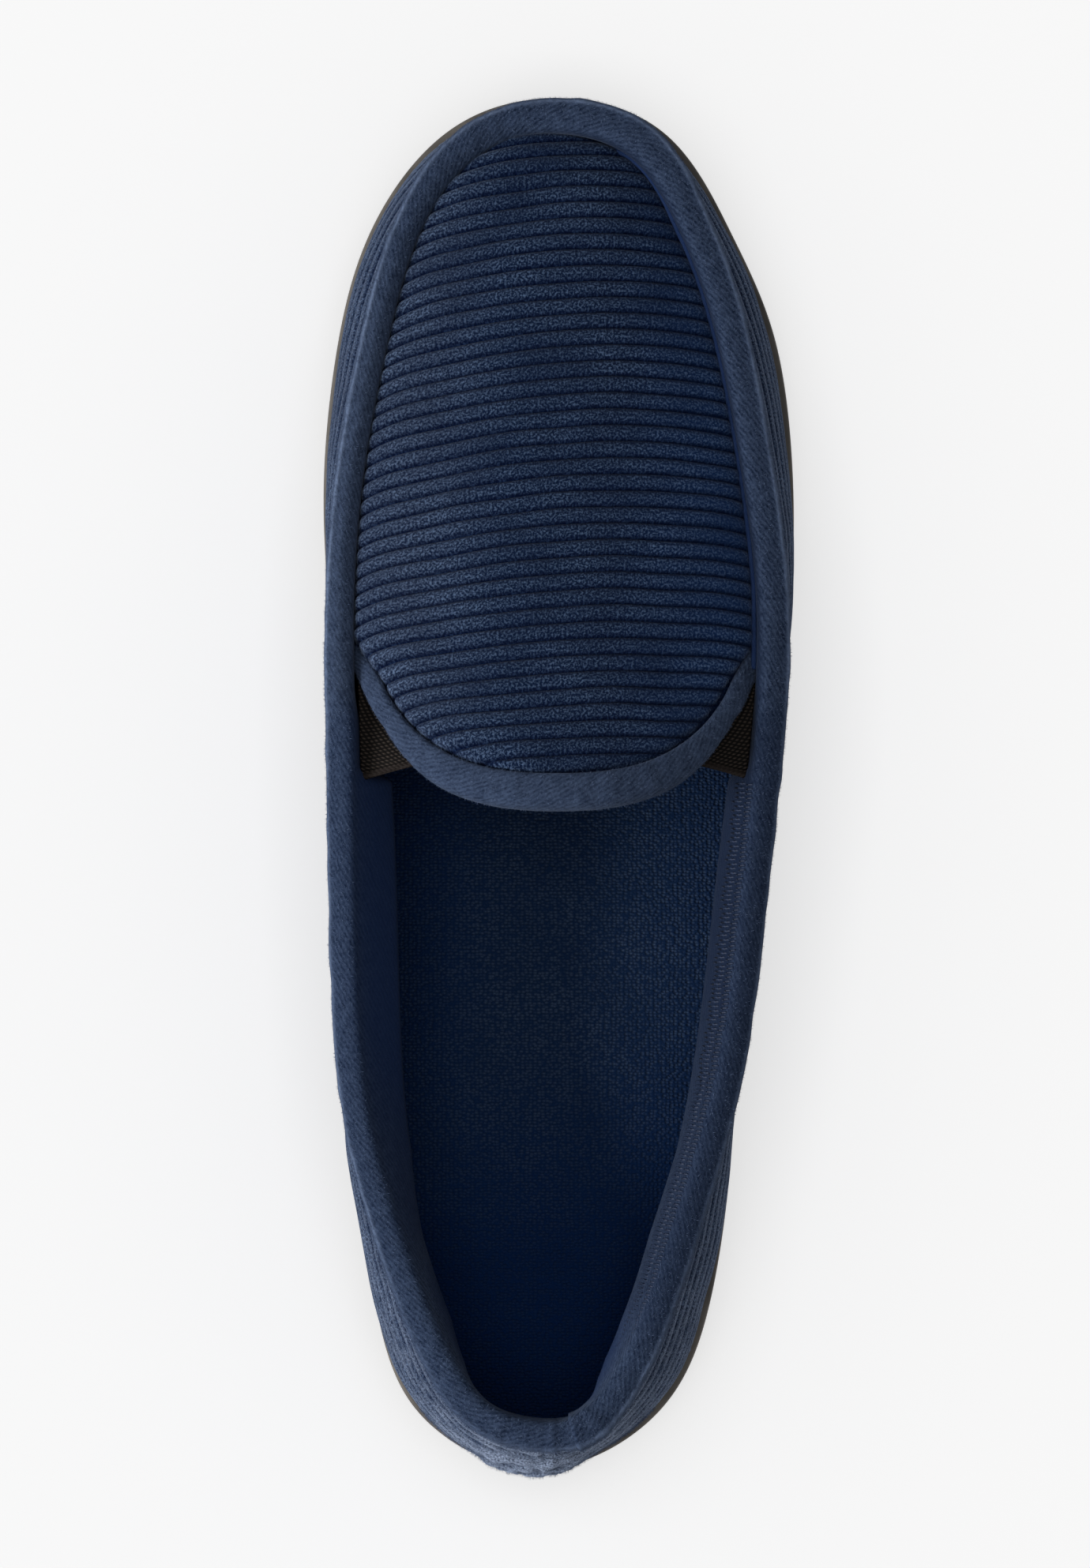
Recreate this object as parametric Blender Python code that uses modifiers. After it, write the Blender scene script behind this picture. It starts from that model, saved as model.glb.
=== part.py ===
"""House slipper for the right foot: a moccasin-style corduroy upper on a thin rubber sole.

Metres, +Z up, the toe towards +Y and the wearer's outer side towards +X, standing on z = 0.
The upper is a wall band round the foot joined to a plug over the toes; every other piece is cut
from the same two surfaces, so a change of a driving size carries through all of them.
"""
import math
from collections import namedtuple

import bmesh
import bpy
import numpy as np

MM = 0.001

# Driving sizes
LENGTH = 300 * MM
BALL_WIDTH = 103 * MM
COLLAR_HEIGHT = 66 * MM
INSTEP_HEIGHT = 78 * MM

# Sole
HEEL_THICKNESS = 13 * MM
FOREFOOT_THICKNESS = 9.5 * MM
TOE_SPRING = 5 * MM
TOE_SPRING_START = 0.27 * LENGTH
HEEL_BEVEL = 1.2 * MM
HEEL_BEVEL_START = -0.44 * LENGTH
WEDGE_REAR = -0.23 * LENGTH
WEDGE_FRONT = 0.10 * LENGTH
ARCH_REAR = -0.20 * LENGTH
ARCH_FRONT = 0.06 * LENGTH
ARCH_RISE = 1.8 * MM
LIP_HEIGHT = 3.0 * MM
LIP_STEP = 0.9 * MM
EDGE_ROUND = 0.8 * MM
TREAD_ROUND = 1.6 * MM
LEDGE = 1.8 * MM

# Upper, insole and tapes
WALL = 3.0 * MM
PLUG_THICKNESS = 3.0 * MM
SEAT_GAP = 0.3 * MM
TAPE_GAP = 0.45 * MM
TAPE = 1.5 * MM
FOLD_RISE = 2.8 * MM
OUTER_LEG = 2.4 * MM
COLLAR_INNER_LEG = 10.5 * MM
COLLAR_PAD = 3.5 * MM
PAD_FRONT = -2 * MM
PAD_REAR = -14 * MM
APRON_INNER_LEG = 0.3 * MM
LEG_CHANGE_FRONT = 21 * MM
LEG_CHANGE_REAR = 11 * MM
INSOLE_THICKNESS = 5.0 * MM
INSOLE_ROUND = 1.5 * MM
INSOLE_GAP = 0.6 * MM

# Plug
SEAM_DEPTH = 4.6 * MM
PLUG_PUFF = 7.0 * MM
PUFF_REACH = 12 * MM
PLUG_ARCH = 2.2
THROAT_FRONT = 50 * MM
THROAT_REAR = -2.5 * MM
THROAT_POWER = 2.5
THROAT_LEG = 5.5 * MM
THROAT_UNDER_LEG = 4.5 * MM
THROAT_START = 16.5 * MM

# Elastic gores
GORE_THICKNESS = 1.2 * MM
GORE_FRONT = 13.5 * MM
GORE_REAR_INNER = 3.0 * MM
GORE_REAR_OUTER = 0.5 * MM
GORE_UNDERLAP = 3.5 * MM
GORE_DROP = 7.0 * MM

# Mesh density
STATIONS = 96
WALL_ROWS = 7
CAP_COLUMNS = 4
PLUG_SPOKES = 60
PLUG_RINGS = 7

# Sections round the shoe from the heel by the inner side, the toe and the outer side: the sole's
# edge and the wall's cut edge as shares of ball width and length, the edge's height as a share of
# the collar height, the wall's outward belly, and its lean at the top in degrees
Section = namedtuple("Section", "name sole_across sole_along top_across top_along top_height belly lean")
SECTIONS = (
    Section("heel_back", -0.016, -0.500, -0.010, -0.461, 1.000, 2.8 * MM, 12),
    Section("heel_corner_medial", -0.252, -0.465, -0.154, -0.442, 0.990, 2.4 * MM, 12),
    Section("heel_side_medial", -0.352, -0.393, -0.267, -0.379, 0.935, 2.5 * MM, 10),
    Section("heel_front_medial", -0.390, -0.290, -0.365, -0.282, 0.879, 2.6 * MM, 2),
    Section("waist_rear_medial", -0.385, -0.187, -0.414, -0.187, 0.867, 1.0 * MM, -8),
    Section("waist_medial", -0.403, -0.067, -0.427, -0.063, 0.897, 0.5 * MM, -10),
    Section("waist_front_medial", -0.442, 0.040, -0.431, 0.037, 0.914, 1.0 * MM, -2),
    Section("ball_rear_medial", -0.464, 0.140, -0.431, 0.133, 0.845, 0.8 * MM, 8),
    Section("ball_medial", -0.471, 0.227, -0.409, 0.227, 0.776, 1.6 * MM, 14),
    Section("toe_rear_medial", -0.441, 0.323, -0.358, 0.323, 0.706, 2.2 * MM, 14),
    Section("toe_side_medial", -0.367, 0.407, -0.284, 0.405, 0.655, 2.0 * MM, 14),
    Section("toe_corner_medial", -0.211, 0.475, -0.152, 0.459, 0.621, 0.8 * MM, 14),
    Section("toe_tip", 0.012, 0.500, 0.012, 0.478, 0.606, 0.6 * MM, 14),
    Section("toe_corner_lateral", 0.250, 0.476, 0.194, 0.462, 0.621, 1.2 * MM, 14),
    Section("toe_side_lateral", 0.396, 0.403, 0.320, 0.403, 0.655, 2.2 * MM, 14),
    Section("toe_rear_lateral", 0.492, 0.323, 0.400, 0.323, 0.706, 2.4 * MM, 14),
    Section("ball_lateral", 0.528, 0.227, 0.451, 0.227, 0.776, 2.2 * MM, 14),
    Section("ball_rear_lateral", 0.524, 0.140, 0.482, 0.133, 0.845, 1.6 * MM, 8),
    Section("waist_front_lateral", 0.490, 0.040, 0.474, 0.037, 0.914, 1.0 * MM, -2),
    Section("waist_lateral", 0.447, -0.067, 0.444, -0.063, 0.897, 0.5 * MM, -6),
    Section("waist_rear_lateral", 0.413, -0.187, 0.399, -0.187, 0.867, 1.0 * MM, -4),
    Section("heel_front_lateral", 0.391, -0.290, 0.325, -0.288, 0.879, 2.4 * MM, 4),
    Section("heel_side_lateral", 0.340, -0.393, 0.231, -0.384, 0.939, 2.5 * MM, 12),
    Section("heel_corner_lateral", 0.222, -0.465, 0.117, -0.448, 0.990, 2.4 * MM, 12),
)
MIDDLE = 0.5 * (max(s.sole_across for s in SECTIONS) + min(s.sole_across for s in SECTIONS))

# Colours as linear values, with roughness
NAVY = (0.045, 0.066, 0.108, 1.0)
NAVY_TAPE = (0.040, 0.060, 0.100, 1.0)
NAVY_TERRY = (0.010, 0.017, 0.038, 1.0)
ELASTIC_BLACK = (0.012, 0.009, 0.008, 1.0)
RUBBER_BROWN = (0.030, 0.025, 0.020, 1.0)


def closed_spline(rows, places):
    """Smooth closed curve through evenly numbered rows, read at places counted in rows."""
    rows = np.asarray(rows, dtype=float)
    count = len(rows)
    unit = np.eye(count)
    system = 4 * unit + np.roll(unit, 1, axis=0) + np.roll(unit, -1, axis=0)
    bend = np.linalg.solve(system, 6 * (np.roll(rows, 1, axis=0) - 2 * rows + np.roll(rows, -1, axis=0)))
    low = np.floor(places).astype(int)
    share = (places - low)[:, None]
    rest = 1 - share
    first, second = low % count, (low + 1) % count
    curve = rows[first] * rest + rows[second] * share
    return curve + ((rest ** 3 - rest) * bend[first] + (share ** 3 - share) * bend[second]) / 6


def smooth_step(value, start, end):
    """0 before start, 1 after end, with a soft change between them."""
    share = np.clip((value - start) / (end - start), 0, 1)
    return share * share * (3 - 2 * share)


def sole_bottom(along):
    """Height of the tread: flat at ball and heel, raised at the arch, toe and heel edge."""
    spring = np.clip((along - TOE_SPRING_START) / (LENGTH / 2 - TOE_SPRING_START), 0, 1)
    bevel = np.clip((HEEL_BEVEL_START - along) / (HEEL_BEVEL_START + LENGTH / 2), 0, 1)
    arch = np.clip((along - ARCH_REAR) / (ARCH_FRONT - ARCH_REAR), 0, 1)
    return TOE_SPRING * spring ** 2 + HEEL_BEVEL * bevel ** 2 + ARCH_RISE * np.sin(np.pi * arch) ** 2


def sole_top(along):
    """Height of the face the upper and the insole stand on."""
    spring = np.clip((along - TOE_SPRING_START) / (LENGTH / 2 - TOE_SPRING_START), 0, 1)
    wedge = smooth_step(along, WEDGE_REAR, WEDGE_FRONT)
    return HEEL_THICKNESS + (FOREFOOT_THICKNESS - HEEL_THICKNESS) * wedge + TOE_SPRING * spring ** 2


def section_rows():
    """The section table in metres: sole x, y, top x, y, z, belly, lean in radians."""
    rows = []
    for part in SECTIONS:
        rows.append((
            (part.sole_across - MIDDLE) * BALL_WIDTH, part.sole_along * LENGTH,
            (part.top_across - MIDDLE) * BALL_WIDTH, part.top_along * LENGTH,
            part.top_height * COLLAR_HEIGHT, part.belly, math.radians(part.lean),
        ))
    return rows


ROWS = section_rows()


def sole_edge(places, inset):
    """The sole's plan outline moved inward by inset, and its outward normals."""
    step = 0.02
    edge = closed_spline(ROWS, places)[:, :2]
    run = closed_spline(ROWS, places + step)[:, :2] - closed_spline(ROWS, places - step)[:, :2]
    run /= np.linalg.norm(run, axis=1, keepdims=True)
    outward = np.stack((-run[:, 1], run[:, 0]), axis=1)
    return edge - outward * inset, outward


def wall_surface(places, climb):
    """Outer face of the wall at places round the shoe, climb 0 at the sole and 1 at the cut edge."""
    values = closed_spline(ROWS, places)
    foot, outward = sole_edge(places, LEDGE)
    base = np.column_stack((foot, sole_top(foot[:, 1]) + SEAT_GAP))
    top = values[:, 2:5]
    belly, lean = values[:, 5], values[:, 6]
    height = top[:, 2] - base[:, 2]
    up = np.array((0.0, 0.0, 1.0))
    out = np.column_stack((outward, np.zeros(len(outward))))
    rise = np.cos(lean)[:, None] * up - np.sin(lean)[:, None] * out
    low = base + up * (0.40 * height)[:, None]
    high = top - rise * (0.36 * height)[:, None]
    t = np.asarray(climb, dtype=float)[:, None]
    curve = (1 - t) ** 3 * base + 3 * (1 - t) ** 2 * t * low + 3 * (1 - t) * t ** 2 * high + t ** 3 * top
    return curve + out * (belly[:, None] * np.sin(np.pi * np.clip(t, 0, 1)) ** 2)


def wall_frame(places, climb):
    """Points of the wall's outer face with unit normals and unit directions up the wall."""
    step = 0.01
    climb = np.asarray(climb, dtype=float)
    point = wall_surface(places, climb)
    up = wall_surface(places, climb) - wall_surface(places, climb - step)
    run = wall_surface(places + step, climb) - wall_surface(places - step, climb)
    up /= np.linalg.norm(up, axis=1, keepdims=True)
    normal = np.cross(up, run)
    normal /= np.linalg.norm(normal, axis=1, keepdims=True)
    return point, normal, up


def climb_below(places, length):
    """Climb value that lies a length below the wall's cut edge."""
    height = np.linalg.norm(wall_surface(places, np.ones(len(places))) - wall_surface(places, np.full(len(places), 0.9)),
                            axis=1) * 10
    return 1 - length / height


def seam_lines():
    """Where the plug meets the middle of the wall on each side, sorted from rear to front."""
    half = len(SECTIONS) / 2
    sides = []
    for start, end in ((5.0, half), (19.0, half)):
        places = np.linspace(start, end, 120)
        point, normal, up = wall_frame(places, np.ones(len(places)))
        line = point - normal * WALL / 2 - up * SEAM_DEPTH
        sides.append(line)
    return sides


MEDIAL_SEAM, LATERAL_SEAM = seam_lines()
TIP = MEDIAL_SEAM[-1]


def plug_height(across, along):
    """Height of the plug's outer face: a crown that climbs to the instep and falls to the seams."""
    reach = np.clip(along, THROAT_FRONT - 25 * MM, TIP[1])
    left_x = np.interp(reach, MEDIAL_SEAM[:, 1], MEDIAL_SEAM[:, 0])
    left_z = np.interp(reach, MEDIAL_SEAM[:, 1], MEDIAL_SEAM[:, 2])
    right_x = np.interp(reach, LATERAL_SEAM[:, 1], LATERAL_SEAM[:, 0])
    right_z = np.interp(reach, LATERAL_SEAM[:, 1], LATERAL_SEAM[:, 2])
    back = TIP[1] - along
    slope = (INSTEP_HEIGHT - TIP[2] - PLUG_PUFF) / (TIP[1] - THROAT_REAR)
    crown = TIP[2] + slope * back + PLUG_PUFF * (1 - np.exp(-np.maximum(back, 0) / PUFF_REACH))
    middle, half = 0.5 * (left_x + right_x), np.maximum(0.5 * (right_x - left_x), 1 * MM)
    share = (across - middle) / half
    side = np.where(share < 0, left_z, right_z)
    return crown - (crown - side) * np.minimum(np.abs(share), 1.15) ** PLUG_ARCH


def plug_frame(across, along):
    """Points on the plug's outer face and unit normals there."""
    step = 0.5 * MM
    height = plug_height(across, along)
    slope_x = (plug_height(across + step, along) - plug_height(across - step, along)) / (2 * step)
    slope_y = (plug_height(across, along + step) - plug_height(across, along - step)) / (2 * step)
    normal = np.column_stack((-slope_x, -slope_y, np.ones(len(height))))
    normal /= np.linalg.norm(normal, axis=1, keepdims=True)
    return np.column_stack((across, along, height)), normal


def throat_edge(turn):
    """Plug's free rear edge in plan for turn 0 (outer side) to pi (inner side), and its outward normals."""
    left = np.interp(THROAT_FRONT, MEDIAL_SEAM[:, 1], MEDIAL_SEAM[:, 0])
    right = np.interp(THROAT_FRONT, LATERAL_SEAM[:, 1], LATERAL_SEAM[:, 0])
    half, depth = 0.5 * (right - left), THROAT_FRONT - THROAT_REAR
    power = 2 / THROAT_POWER

    def spot(angle):
        """Plan point of the rounded rear edge."""
        across = np.sign(np.cos(angle)) * np.abs(np.cos(angle)) ** power
        return np.column_stack((0.5 * (left + right) + half * across,
                                THROAT_FRONT - depth * np.abs(np.sin(angle)) ** power))

    run = spot(turn - 0.01) - spot(turn + 0.01)
    run /= np.linalg.norm(run, axis=1, keepdims=True)
    return spot(turn), np.column_stack((run[:, 1], -run[:, 0]))


def turn_at(along, outer_side):
    """Turn at which the throat edge passes a place along the shoe."""
    depth = THROAT_FRONT - THROAT_REAR
    turn = math.asin(((THROAT_FRONT - along) / depth) ** (THROAT_POWER / 2))
    return turn if outer_side else math.pi - turn


def clear_scene():
    """Remove whatever the scene starts with."""
    for item in list(bpy.data.objects):
        bpy.data.objects.remove(item, do_unlink=True)


def collection(name):
    """New collection linked to the scene."""
    group = bpy.data.collections.new(name)
    bpy.context.scene.collection.children.link(group)
    return group


def material(name, colour, roughness):
    """Principled material of one colour."""
    result = bpy.data.materials.new(name)
    result.use_nodes = True
    shader = result.node_tree.nodes["Principled BSDF"]
    shader.inputs["Base Color"].default_value = colour
    shader.inputs["Roughness"].default_value = roughness
    shader.inputs["Metallic"].default_value = 0.0
    return result


def grid_faces(mesh, rows, wrap_along, wrap_across):
    """Quads over a table of vertices, with either direction closed on itself."""
    count, width = len(rows), len(rows[0])
    for i in range(count if wrap_along else count - 1):
        this, after = rows[i], rows[(i + 1) % count]
        for j in range(width if wrap_across else width - 1):
            k = (j + 1) % width
            mesh.faces.new((this[j], this[k], after[k], after[j]))


def table_of_vertices(mesh, points):
    """Vertices for an array of points by row and column."""
    return [[mesh.verts.new(point) for point in row] for row in points]


def add_object(name, mesh, group, finish, close=True):
    """Object from a bmesh, with faces turned outward when it is closed."""
    if close:
        bmesh.ops.recalc_face_normals(mesh, faces=mesh.faces)
    data = bpy.data.meshes.new(name)
    mesh.to_mesh(data)
    mesh.free()
    data.materials.append(finish)
    result = bpy.data.objects.new(name, data)
    group.objects.link(result)
    return result


def ladder_cap(mesh, ring, height):
    """Close a ring that starts at the heel: rungs join its inner and outer sides up to the toe."""
    half = len(ring) // 2
    rungs = []
    for i in range(1, half):
        first, last = ring[i], ring[-i]
        rung = [first]
        for column in range(1, CAP_COLUMNS):
            spot = first.co.lerp(last.co, column / CAP_COLUMNS)
            rung.append(mesh.verts.new((spot.x, spot.y, height(spot.y))))
        rungs.append(rung + [last])
    grid_faces(mesh, rungs, False, False)
    for tip, rung in ((ring[0], rungs[0]), (ring[half], rungs[-1])):
        for j in range(CAP_COLUMNS):
            mesh.faces.new((tip, rung[j], rung[j + 1]))


def stacked_slab(name, levels, low, high, stations, group, finish):
    """Slab between two heights along the shoe from (inset, height function) levels, bottom first."""
    places = np.linspace(0, len(SECTIONS), stations, endpoint=False)
    mesh = bmesh.new()
    rings = []
    for inset, height in levels:
        edge, _ = sole_edge(places, inset)
        rings.append([mesh.verts.new((x, y, height(y))) for x, y in edge])
    grid_faces(mesh, rings, False, True)
    ladder_cap(mesh, rings[0], low)
    ladder_cap(mesh, rings[-1], high)
    return add_object(name, mesh, group, finish)


def build_outsole(group):
    """Rubber sole with a lip at the top, a stepped side and a rounded tread edge."""
    levels = (
        (LIP_STEP + TREAD_ROUND, sole_bottom),
        (LIP_STEP, lambda y: sole_bottom(y) + TREAD_ROUND),
        (LIP_STEP, lambda y: sole_top(y) - LIP_HEIGHT - LIP_STEP),
        (0, lambda y: sole_top(y) - LIP_HEIGHT),
        (0, lambda y: sole_top(y) - EDGE_ROUND),
        (EDGE_ROUND, sole_top),
    )
    rubber = material("sole_rubber", RUBBER_BROWN, 0.55)
    return stacked_slab("outsole", levels, sole_bottom, sole_top, STATIONS, group, rubber)


def build_insole(group):
    """Cushioned sock that fills the wall's foot and lies on the sole."""
    reach = LEDGE + WALL + INSOLE_GAP

    def under(y):
        """Lower face of the sock."""
        return sole_top(y) + SEAT_GAP

    def over(y):
        """Upper face of the sock."""
        return under(y) + INSOLE_THICKNESS

    levels = ((reach, under), (reach, lambda y: over(y) - INSOLE_ROUND), (reach + INSOLE_ROUND, over))
    return stacked_slab("insole", levels, under, over, STATIONS // 2, group, material("sock_terry", NAVY_TERRY, 0.95))


def build_plug_form(group, finish):
    """Plug as a shell: spokes from its middle to the seam and to the free rear edge."""
    front = PLUG_SPOKES * 3 // 5
    rear = PLUG_SPOKES - front
    medial = MEDIAL_SEAM[MEDIAL_SEAM[:, 1] >= THROAT_FRONT][:, :2]
    lateral = LATERAL_SEAM[LATERAL_SEAM[:, 1] >= THROAT_FRONT][:, :2]
    line = np.vstack((medial, lateral[::-1][1:]))
    run = np.concatenate(((0,), np.cumsum(np.linalg.norm(np.diff(line, axis=0), axis=1))))
    stops = np.linspace(0, run[-1], front + 1)
    border = np.column_stack((np.interp(stops, run, line[:, 0]), np.interp(stops, run, line[:, 1])))
    turns = np.linspace(0, np.pi, rear + 1)[1:-1]
    border = np.vstack((border, throat_edge(turns)[0]))
    middle = np.array((0.5 * (border[:, 0].min() + border[:, 0].max()), 0.4 * TIP[1]))
    mesh = bmesh.new()
    rings = []
    for ring in range(1, PLUG_RINGS + 1):
        plan = middle + (border - middle) * (ring / PLUG_RINGS) ** 0.9
        points, _ = plug_frame(plan[:, 0], plan[:, 1])
        rings.append([mesh.verts.new(point) for point in points])
    hub = mesh.verts.new((middle[0], middle[1], float(plug_height(middle[:1], middle[1:])[0])))
    for i in range(len(border)):
        mesh.faces.new((hub, rings[0][i], rings[0][(i + 1) % len(border)]))
    grid_faces(mesh, rings, False, True)
    bmesh.ops.recalc_face_normals(mesh, faces=mesh.faces)
    if sum(face.normal.z for face in mesh.faces) < 0:
        bmesh.ops.reverse_faces(mesh, faces=mesh.faces)
    form = add_object("plug_form", mesh, group, finish, close=False)
    shell = form.modifiers.new("thickness", "SOLIDIFY")
    shell.thickness = PLUG_THICKNESS
    shell.offset = -1.0
    form.hide_render = True
    form.display_type = "WIRE"
    return form


def build_upper(group, forms):
    """Wall band as a shell joined to the plug: one hollow solid open at the collar and below."""
    corduroy = material("corduroy", NAVY, 0.9)
    places = np.linspace(0, len(SECTIONS), STATIONS, endpoint=False)
    mesh = bmesh.new()
    rows = []
    for climb in np.linspace(0, 1, WALL_ROWS + 1):
        rows.append([mesh.verts.new(point) for point in wall_surface(places, np.full(len(places), climb))])
    grid_faces(mesh, rows, False, True)
    bmesh.ops.recalc_face_normals(mesh, faces=mesh.faces)
    side = max(mesh.faces, key=lambda face: face.calc_center_median().x)
    if side.normal.x < 0:
        bmesh.ops.reverse_faces(mesh, faces=mesh.faces)
    upper = add_object("upper", mesh, group, corduroy, close=False)
    shell = upper.modifiers.new("thickness", "SOLIDIFY")
    shell.thickness = WALL
    shell.offset = -1.0
    join = upper.modifiers.new("plug", "BOOLEAN")
    join.operation = "UNION"
    join.solver = "EXACT"
    join.object = build_plug_form(forms, corduroy)
    return upper


def fold_arc(centre, side, up, reach, rise, steps):
    """Points of a half-oval fold from one side over the top to the other, by step and place."""
    arc = []
    for angle in np.linspace(0, np.pi, steps):
        arc.append(centre + side * (reach * math.cos(angle)) + up * (rise * math.sin(angle)))
    return arc


def build_collar_binding(group, finish):
    """Folded tape over the wall's cut edge: a padded inner leg at the collar, a short one beside the plug."""
    places = np.linspace(0, len(SECTIONS), STATIONS, endpoint=False)
    ones = np.ones(len(places))
    edge, normal, up = wall_frame(places, ones)
    out_low, out_low_normal, _ = wall_frame(places, climb_below(places, OUTER_LEG))
    out_mid, out_mid_normal, _ = wall_frame(places, climb_below(places, OUTER_LEG / 2))
    change = smooth_step(edge[:, 1], LEG_CHANGE_REAR, LEG_CHANGE_FRONT)
    inner_leg = COLLAR_INNER_LEG + (APRON_INNER_LEG - COLLAR_INNER_LEG) * change
    in_low, in_low_normal, _ = wall_frame(places, climb_below(places, inner_leg))
    near, far = TAPE_GAP, TAPE_GAP + TAPE
    centre = edge - normal * WALL / 2
    section = [out_low + out_low_normal * far, out_mid + out_mid_normal * far]
    section += fold_arc(centre, normal, up, WALL / 2 + far, FOLD_RISE, 5)
    pad = COLLAR_PAD * smooth_step(-edge[:, 1], -PAD_FRONT, -PAD_REAR)[:, None]
    section += [
        in_low - in_low_normal * (WALL + far + pad), in_low - in_low_normal * (WALL + near),
        edge - normal * (WALL + near) + up * near, edge + normal * near + up * near,
        out_mid + out_mid_normal * near, out_low + out_low_normal * near,
    ]
    mesh = bmesh.new()
    grid_faces(mesh, table_of_vertices(mesh, section), True, True)
    return add_object("collar_binding", mesh, group, finish)


def build_throat_binding(group, finish):
    """Folded tape over the plug's free rear edge, from one gore to the other."""
    turns = np.linspace(turn_at(THROAT_START, True), turn_at(THROAT_START, False), 30)
    edge, outward = throat_edge(turns)
    near, far = TAPE_GAP, TAPE_GAP + TAPE

    def shifted(inward, lift):
        """Points inside the edge by a distance, off the plug's face by a lift."""
        plan = edge - outward * max(inward, 0)
        point, normal = plug_frame(plan[:, 0], plan[:, 1])
        side = np.column_stack((outward, np.zeros(len(outward))))
        side -= normal * np.sum(side * normal, axis=1, keepdims=True)
        side /= np.linalg.norm(side, axis=1, keepdims=True)
        return point + normal * lift - side * min(inward, 0)

    middle, reach = -PLUG_THICKNESS / 2, PLUG_THICKNESS / 2 + far
    section = [shifted(THROAT_LEG, near), shifted(THROAT_LEG, far), shifted(THROAT_LEG / 2, far)]
    for angle in np.linspace(90, -90, 5):
        section.append(shifted(-FOLD_RISE * math.cos(math.radians(angle)),
                               middle + reach * math.sin(math.radians(angle))))
    section += [
        shifted(THROAT_UNDER_LEG, -PLUG_THICKNESS - far), shifted(THROAT_UNDER_LEG, -PLUG_THICKNESS - near),
        shifted(-near, -PLUG_THICKNESS - near), shifted(-near, near), shifted(THROAT_LEG / 2, near),
    ]
    mesh = bmesh.new()
    rows = table_of_vertices(mesh, section)
    grid_faces(mesh, rows, True, False)
    mesh.faces.new([row[0] for row in rows])
    mesh.faces.new([row[-1] for row in rows])
    return add_object("throat_binding", mesh, group, finish)


def build_gore(name, outer_side, group, finish):
    """Elastic wedge from under the plug's rear corner to the collar tape's inner leg."""
    steps, columns = 6, 4
    low, high = (13.0, 24.0) if outer_side else (0.0, 11.0)
    search = np.linspace(low, high, 400)
    rim, normal, up = wall_frame(search, np.ones(len(search)))
    wanted = np.linspace(GORE_FRONT, GORE_REAR_OUTER, steps)
    order = np.argsort(rim[:, 1])
    places = np.interp(wanted, rim[order, 1], search[order])
    rim, normal, up = wall_frame(places, np.ones(steps))
    far = TAPE_GAP + TAPE + SEAT_GAP
    wall_side = rim - normal * (WALL + far) - up * GORE_DROP
    inner = np.linspace(GORE_FRONT, GORE_REAR_INNER, steps)
    turns = np.array([turn_at(y, outer_side) for y in inner])
    edge, outward = throat_edge(turns)
    plan = edge - outward * GORE_UNDERLAP
    point, lift = plug_frame(plan[:, 0], plan[:, 1])
    plug_side = point - lift * (PLUG_THICKNESS + far + SEAT_GAP)
    rows = []
    for column in range(columns + 1):
        rows.append(plug_side + (wall_side - plug_side) * column / columns)
    mesh = bmesh.new()
    grid_faces(mesh, table_of_vertices(mesh, rows), False, False)
    bmesh.ops.recalc_face_normals(mesh, faces=mesh.faces)
    if sum(face.normal.z for face in mesh.faces) < 0:
        bmesh.ops.reverse_faces(mesh, faces=mesh.faces)
    gore = add_object(name, mesh, group, finish, close=False)
    shell = gore.modifiers.new("thickness", "SOLIDIFY")
    shell.thickness = GORE_THICKNESS
    shell.offset = -1.0
    return gore


def main():
    """Build the slipper's pieces."""
    clear_scene()
    slipper = collection("house_slipper")
    forms = collection("forms")
    build_outsole(slipper)
    build_insole(slipper)
    build_upper(slipper, forms)
    tape = material("twill_tape", NAVY_TAPE, 0.85)
    build_collar_binding(slipper, tape)
    build_throat_binding(slipper, tape)
    elastic = material("elastic", ELASTIC_BLACK, 0.8)
    build_gore("gore_medial", False, slipper, elastic)
    build_gore("gore_lateral", True, slipper, elastic)


main()
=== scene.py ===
"""House slipper in its cloth: corduroy upper, twill tape, elastic gores, terry inside and a rubber sole.

Metres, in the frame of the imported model: the toe towards +Y, the wearer's outer side towards +X, the floor
at z = 0. Every piece is cut from one last, so the cloth lies where the solids are.
"""
import logging
import math
from collections.abc import Sequence
from dataclasses import dataclass, field
from enum import Enum
from functools import cached_property
from typing import Any, NamedTuple

import bpy
import numpy as np
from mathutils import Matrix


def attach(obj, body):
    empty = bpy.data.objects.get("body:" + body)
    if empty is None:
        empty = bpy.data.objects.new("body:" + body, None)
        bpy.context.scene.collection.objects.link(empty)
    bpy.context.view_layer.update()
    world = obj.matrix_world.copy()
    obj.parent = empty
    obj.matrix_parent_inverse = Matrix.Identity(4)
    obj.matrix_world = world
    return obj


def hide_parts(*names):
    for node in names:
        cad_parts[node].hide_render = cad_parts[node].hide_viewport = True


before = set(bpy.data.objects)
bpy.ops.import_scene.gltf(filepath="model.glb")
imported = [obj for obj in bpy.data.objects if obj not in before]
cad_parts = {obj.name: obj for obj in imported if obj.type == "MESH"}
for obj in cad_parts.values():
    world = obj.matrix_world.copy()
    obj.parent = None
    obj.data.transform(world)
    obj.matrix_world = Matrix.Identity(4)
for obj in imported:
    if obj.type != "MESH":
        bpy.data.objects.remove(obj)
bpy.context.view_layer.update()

MM = 0.001
LOG = logging.getLogger("house_slipper")
CHART = "cloth"
STEEP = 0.9
UP = np.array((0.0, 0.0, 1.0))
# Settings of the nodes that mix two colours and that multiply two values
COLOURS = {"data_type": "RGBA"}
TIMES = {"operation": "MULTIPLY"}

Array = np.ndarray
Colour = tuple[float, float, float, float]


class Side(Enum):
    """Side of the foot; the value is the sign of its x direction."""

    MEDIAL = -1
    LATERAL = 1


class Loop(Enum):
    """How the columns of a sheet of points join up."""

    OPEN = 0
    CLOSED = 1


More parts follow.
